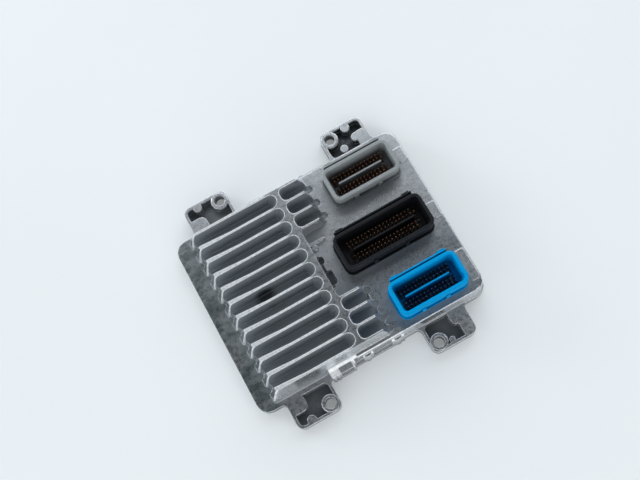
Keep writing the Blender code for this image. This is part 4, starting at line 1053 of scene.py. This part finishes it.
@dataclass
class HeaderGroup:
    """The three headers with their pins, pin carriers and gaskets."""

    shelf: EffectShelf
    pitch: float = 2.54 * MM
    rows: int = 4
    pin_width: float = 0.64 * MM
    tip_length: float = 0.9 * MM
    coin_height: float = 0.225 * MM
    coin_width: float = 0.525 * MM
    point_width: float = 0.294 * MM
    pin_top: float = 25.0 * MM
    pin_sunk: float = 0.3 * MM
    floor: float = 18.2 * MM
    row_gap: float = 6.35 * MM
    outer_margin: float = 0.75 * MM
    inner_margin: float = 1.9 * MM
    last_pin_x: float = 62.8 * MM
    block_soft: float = 0.15 * MM
    collar_width: float = 0.22 * MM
    collar_height: float = 0.28 * MM
    collar_sunk: float = 0.2 * MM

    def _pin_places(self, kind: Header) -> list[Span]:
        """Lists the middles of one header's pins, column by column.

        Args:
            kind: Which header it is.

        Returns:
            Each pin's X and Y.
        """
        plan = HEADERS[kind]
        places = []
        for column in range(plan.columns):
            for row in range(self.rows):
                if (column, row) in plan.missing:
                    continue
                side = 1 if row > 1 else -1
                step = row - 2 if row > 1 else 1 - row
                places.append((self.last_pin_x - (plan.columns - 1 - column) * self.pitch,
                               plan.middle + side * (self.row_gap / 2 + step * self.pitch)))
        return places

    def build_pins(self, kind: Header, finish: Material) -> Piece:
        """Builds one header's pins with square shanks and coined tips.

        Args:
            kind: Which header they stand in.
            finish: The pins' material.

        Returns:
            The pins as one piece.
        """
        mesh = bmesh.new()
        half = self.pin_width / 2
        levels = (
            (self.floor - self.pin_sunk, 0.0),
            (self.pin_top - self.tip_length, 0.0),
            (self.pin_top - self.coin_height, half - self.coin_width / 2),
            (self.pin_top, half - self.point_width / 2),
        )
        for x, y in self._pin_places(kind):
            add_stack(mesh, (x - half, y - half), (x + half, y + half), levels)
        return finish_piece(f"pins_{kind.value}", mesh, finish)

    def build_carrier(self, kind: Header, bottom: float, finish: Material) -> Piece:
        """Builds the carrier's visible banks, with a small collar at the foot of each pin.

        Args:
            kind: Which header it belongs to.
            bottom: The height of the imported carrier's underside.
            finish: Its material.

        Returns:
            The carrier piece.
        """
        mesh = bmesh.new()
        plan = HEADERS[kind]
        half = self.pin_width / 2
        margin, middle = half + self.outer_margin, half + self.inner_margin
        first_x = self.last_pin_x - (plan.columns - 1) * self.pitch
        bank = self._soft_levels(bottom, self.floor)
        collar = self._soft_levels(self.floor - self.collar_sunk, self.floor + self.collar_height)
        for side in (-1, 1):
            inner = plan.middle + side * (self.row_gap / 2)
            outer = inner + side * self.pitch
            low, high = sorted((inner - side * middle, outer + side * margin))
            add_stack(mesh, (first_x - margin, low), (self.last_pin_x + margin, high), bank)
        reach = half + self.collar_width
        for x, y in self._pin_places(kind):
            add_stack(mesh, (x - reach, y - reach), (x + reach, y + reach), collar)
        return finish_piece(f"carrier_{kind.value}", mesh, finish)

    def _soft_levels(self, bottom: float, top: float) -> tuple[Span, ...]:
        """Gives the levels of a block with a softened upper edge."""
        return (bottom, 0.0), (top - self.block_soft, 0.0), (top, self.block_soft)

    def dress(self, nodes: Pieces) -> int:
        """Dresses the headers and adds their finer pins and carriers.

        Args:
            nodes: The frame's nodes by name.

        Returns:
            How many nodes were dressed.
        """
        gasket = MattCompound("gasket_compound", (0.022, 0.022, 0.024), (0.04, 0.04, 0.042), 0.7)
        copper = PinMetal("pin_copper", (0.66, 0.32, 0.17), (0.70, 0.40, 0.24), (0.30, 0.12, 0.07))
        tinned = PinMetal("pin_tinned", (0.06, 0.17, 0.27), (0.25, 0.42, 0.52), (0.008, 0.035, 0.075))
        rubber, bare, plated = (finish.make(self.shelf) for finish in (gasket, copper, tinned))
        for kind, plan in HEADERS.items():
            carrier_node = nodes[f"pin_block_{kind.value}"]
            resin = plan.resin.make(self.shelf)
            dress(nodes[f"header_{kind.value}"], plan.shroud.make(self.shelf))
            dress(nodes[f"header_seal_{kind.value}"], rubber)
            dress(carrier_node, resin)
            block = self.build_carrier(kind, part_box(carrier_node.name)[0].z, resin)
            pins = self.build_pins(kind, plated if kind is Header.BLUE else bare)
            for piece in (block, pins):
                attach(piece, "root")
            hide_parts(carrier_node.name)
        return 3 * len(HEADERS)


@dataclass
class FastenerGroup:
    """The screws of the board and of the cover."""

    shelf: EffectShelf

    def dress(self, nodes: Pieces) -> int:
        """Dresses every screw.

        Args:
            nodes: The frame's nodes by name.

        Returns:
            How many screws there are.
        """
        zinc = PlainMetal("zinc_plate", (0.66, 0.66, 0.62), (0.50, 0.50, 0.47), 0.30, mark_scale=5000.0)
        finish = zinc.make(self.shelf)
        screws = [node for name, node in nodes.items() if "_screw_" in name]
        for screw in screws:
            dress(screw, finish)
        return len(screws)


@dataclass
class ElectronicsGroup:
    """The board, what is soldered to it and the pads that carry its heat away."""

    shelf: EffectShelf

    def dress(self, nodes: Pieces) -> int:
        """Dresses every sealed inner piece.

        Args:
            nodes: The frame's nodes by name.

        Returns:
            How many pieces there are.
        """
        chips = ("microcontroller", "flash_memory", "voltage_regulator",
                 "injector_driver", "ignition_driver", "throttle_driver")
        plan = (
            ("circuit_board",
             MattCompound("solder_resist", (0.012, 0.085, 0.035), (0.02, 0.12, 0.05), 0.35, 260.0)),
            (chips, MattCompound("chip_resin", (0.015, 0.015, 0.016), (0.03, 0.03, 0.031), 0.55, 6000.0)),
            ("thermal_pad", MattCompound("heat_pad", (0.30, 0.32, 0.34), (0.36, 0.38, 0.40), 0.85, 1200.0)),
            ("inductor", MattCompound("coil_core", (0.03, 0.03, 0.033), (0.06, 0.06, 0.063), 0.6, 3000.0)),
            (("capacitor", "crystal"), PlainMetal("can_metal", (0.75, 0.76, 0.77), (0.62, 0.63, 0.65), 0.28)),
        )
        count = 0
        for words, finish in plan:
            made = finish.make(self.shelf)
            for name, node in nodes.items():
                if name.startswith(words):
                    dress(node, made)
                    count += 1
        return count


@dataclass(frozen=True)
class Softbox:
    """A square lamp that points at the part: its size in metres, power in watts and tint."""

    name: str
    place: Place
    size: float
    power: float
    tint: Colour

    def hang(self) -> None:
        """Hangs the lamp in the scene."""
        data = bpy.data.lights.new(self.name, "AREA")
        data.shape = "SQUARE"
        data.size, data.energy, data.color = self.size, self.power, self.tint
        lamp = place_object(self.name, data)
        lamp.location = self.place
        lamp.rotation_euler = (-Vector(self.place)).to_track_quat("-Z", "Y").to_euler()


class Side(NamedTuple):
    """A pale side of the room: its direction, how its soft edge begins and ends, and its light."""

    towards: Place
    begins: float
    full: float
    light: float


@dataclass
class Studio:
    """The pale floor, the soft lights and the camera."""

    camera_place: Place = (-0.02910, -0.14516, 0.62000)
    lens: float = 56.25
    view_rows: tuple[Place, ...] = (
        (0.87279746, -0.4813279, -0.08091998),
        (0.48519369, 0.83761265, 0.25098232),
        (-0.05302519, -0.2583186, 0.96460346),
    )
    floor_size: float = 6.0
    floor_height: float = -0.0002
    floor_colour: Colour = (0.755, 0.785, 0.80)
    floor_mottle: float = 0.97
    floor_glow: float = 0.31
    world_colour: Colour = (0.90, 0.95, 1.0)
    room_light: float = 0.055
    sides: tuple[Side, ...] = (
        Side((0.37, 0.93, 0.0), 0.26, 0.45, 1.12),
        Side((0.0, -1.0, 0.0), 0.48, 0.88, 0.88),
        Side((-1.0, 0.0, 0.0), 0.45, 0.85, 1.20),
    )
    horizon_light: float = 0.80
    horizon_top: float = 0.26
    horizon_full: float = 0.08
    lamps: tuple[Softbox, ...] = (
        Softbox("key_softbox", (0.05, -1.10, 0.62), 1.6, 5.5, (1.0, 0.99, 0.97)),
        Softbox("left_strip", (-0.75, 0.85, 0.42), 0.28, 2.2, (1.0, 1.0, 1.0)),
        Softbox("far_softbox", (0.60, 1.0, 0.75), 1.3, 3.5, (0.95, 0.98, 1.0)),
    )

    def build(self) -> None:
        """Builds the whole studio."""
        self._camera()
        self._floor()
        self._world()
        for lamp in self.lamps:
            lamp.hang()
        bpy.context.scene.view_settings.view_transform = "Standard"

    def _camera(self) -> None:
        """Puts the camera where the photograph was taken from."""
        data = bpy.data.cameras.new("photo_camera")
        data.sensor_fit = "HORIZONTAL"
        data.sensor_width = 36.0
        data.lens = self.lens
        data.clip_start = 0.01
        camera = place_object("photo_camera", data)
        turn = Matrix(self.view_rows).transposed().to_4x4()
        camera.matrix_world = Matrix.Translation(Vector(self.camera_place)) @ turn
        bpy.context.scene.camera = camera

    def _floor(self) -> None:
        """Lays the pale floor, which glows a little where a lens, metal or glass shows it."""
        half, height = self.floor_size / 2, self.floor_height
        corners = [(-half, -half, height), (half, -half, height), (half, half, height), (-half, half, height)]
        mesh = bpy.data.meshes.new("floor")
        mesh.from_pydata(corners, [], [(0, 1, 2, 3)])
        floor = place_object("floor", mesh)
        made = bpy.data.materials.new("floor_paper")
        made.use_nodes = True
        bench = NodeBench(made.node_tree)
        mottle = bench.spread(bench.noise(bench.place(), scale=3.0, detail=2.0), 0.3, 0.7)
        darker = tuple(part * self.floor_mottle for part in self.floor_colour)
        paper = bench.mix(mottle, self.floor_colour, darker)
        path = bench.add("LightPath").outputs
        seen = bench.most(path["Is Camera Ray"], path["Is Glossy Ray"], path["Is Transmission Ray"])
        glow = bench.product(seen, self.floor_glow)
        bench.feed(made.node_tree.nodes["Principled BSDF"], Base_Color=paper, Roughness=0.9,
                   Specular_IOR_Level=0.1, Emission_Color=paper, Emission_Strength=glow)
        dress(floor, made)

    def _world(self) -> None:
        """Sets the light of the room: pale on its sides and at the horizon, dim overhead."""
        world = bpy.data.worlds.new("room")
        bpy.context.scene.world = world
        world.use_nodes = True
        bench = NodeBench(world.node_tree)
        direction = bench.add("TexCoord").outputs["Generated"]
        strength = self.room_light
        for side in self.sides:
            facing = bench.maths("DOT_PRODUCT", direction, Vector(side.towards).normalized(), "VectorMath")
            pale = bench.spread(facing, side.begins, side.full)
            strength = bench.maths("ADD", strength, bench.product(pale, side.light))
        horizon = bench.spread(bench.axes(direction)["Z"], self.horizon_top, self.horizon_full,
                               0.0, self.horizon_light)
        bench.feed(world.node_tree.nodes["Background"], Color=(*self.world_colour, 1.0),
                   Strength=bench.most(strength, horizon))


def main() -> None:
    """Builds the studio, then dresses each group of pieces."""
    logging.basicConfig(level=logging.INFO, format="%(message)s")
    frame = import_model()
    nodes = frame["nodes"]
    shelf = EffectShelf()
    Studio().build()
    LOG.info("studio built")
    groups = (HousingGroup(shelf), HeaderGroup(shelf), FastenerGroup(shelf), ElectronicsGroup(shelf))
    for group in groups:
        LOG.info("%s: %d pieces dressed", type(group).__name__, group.dress(nodes))


if __name__ == "__main__":
    main()
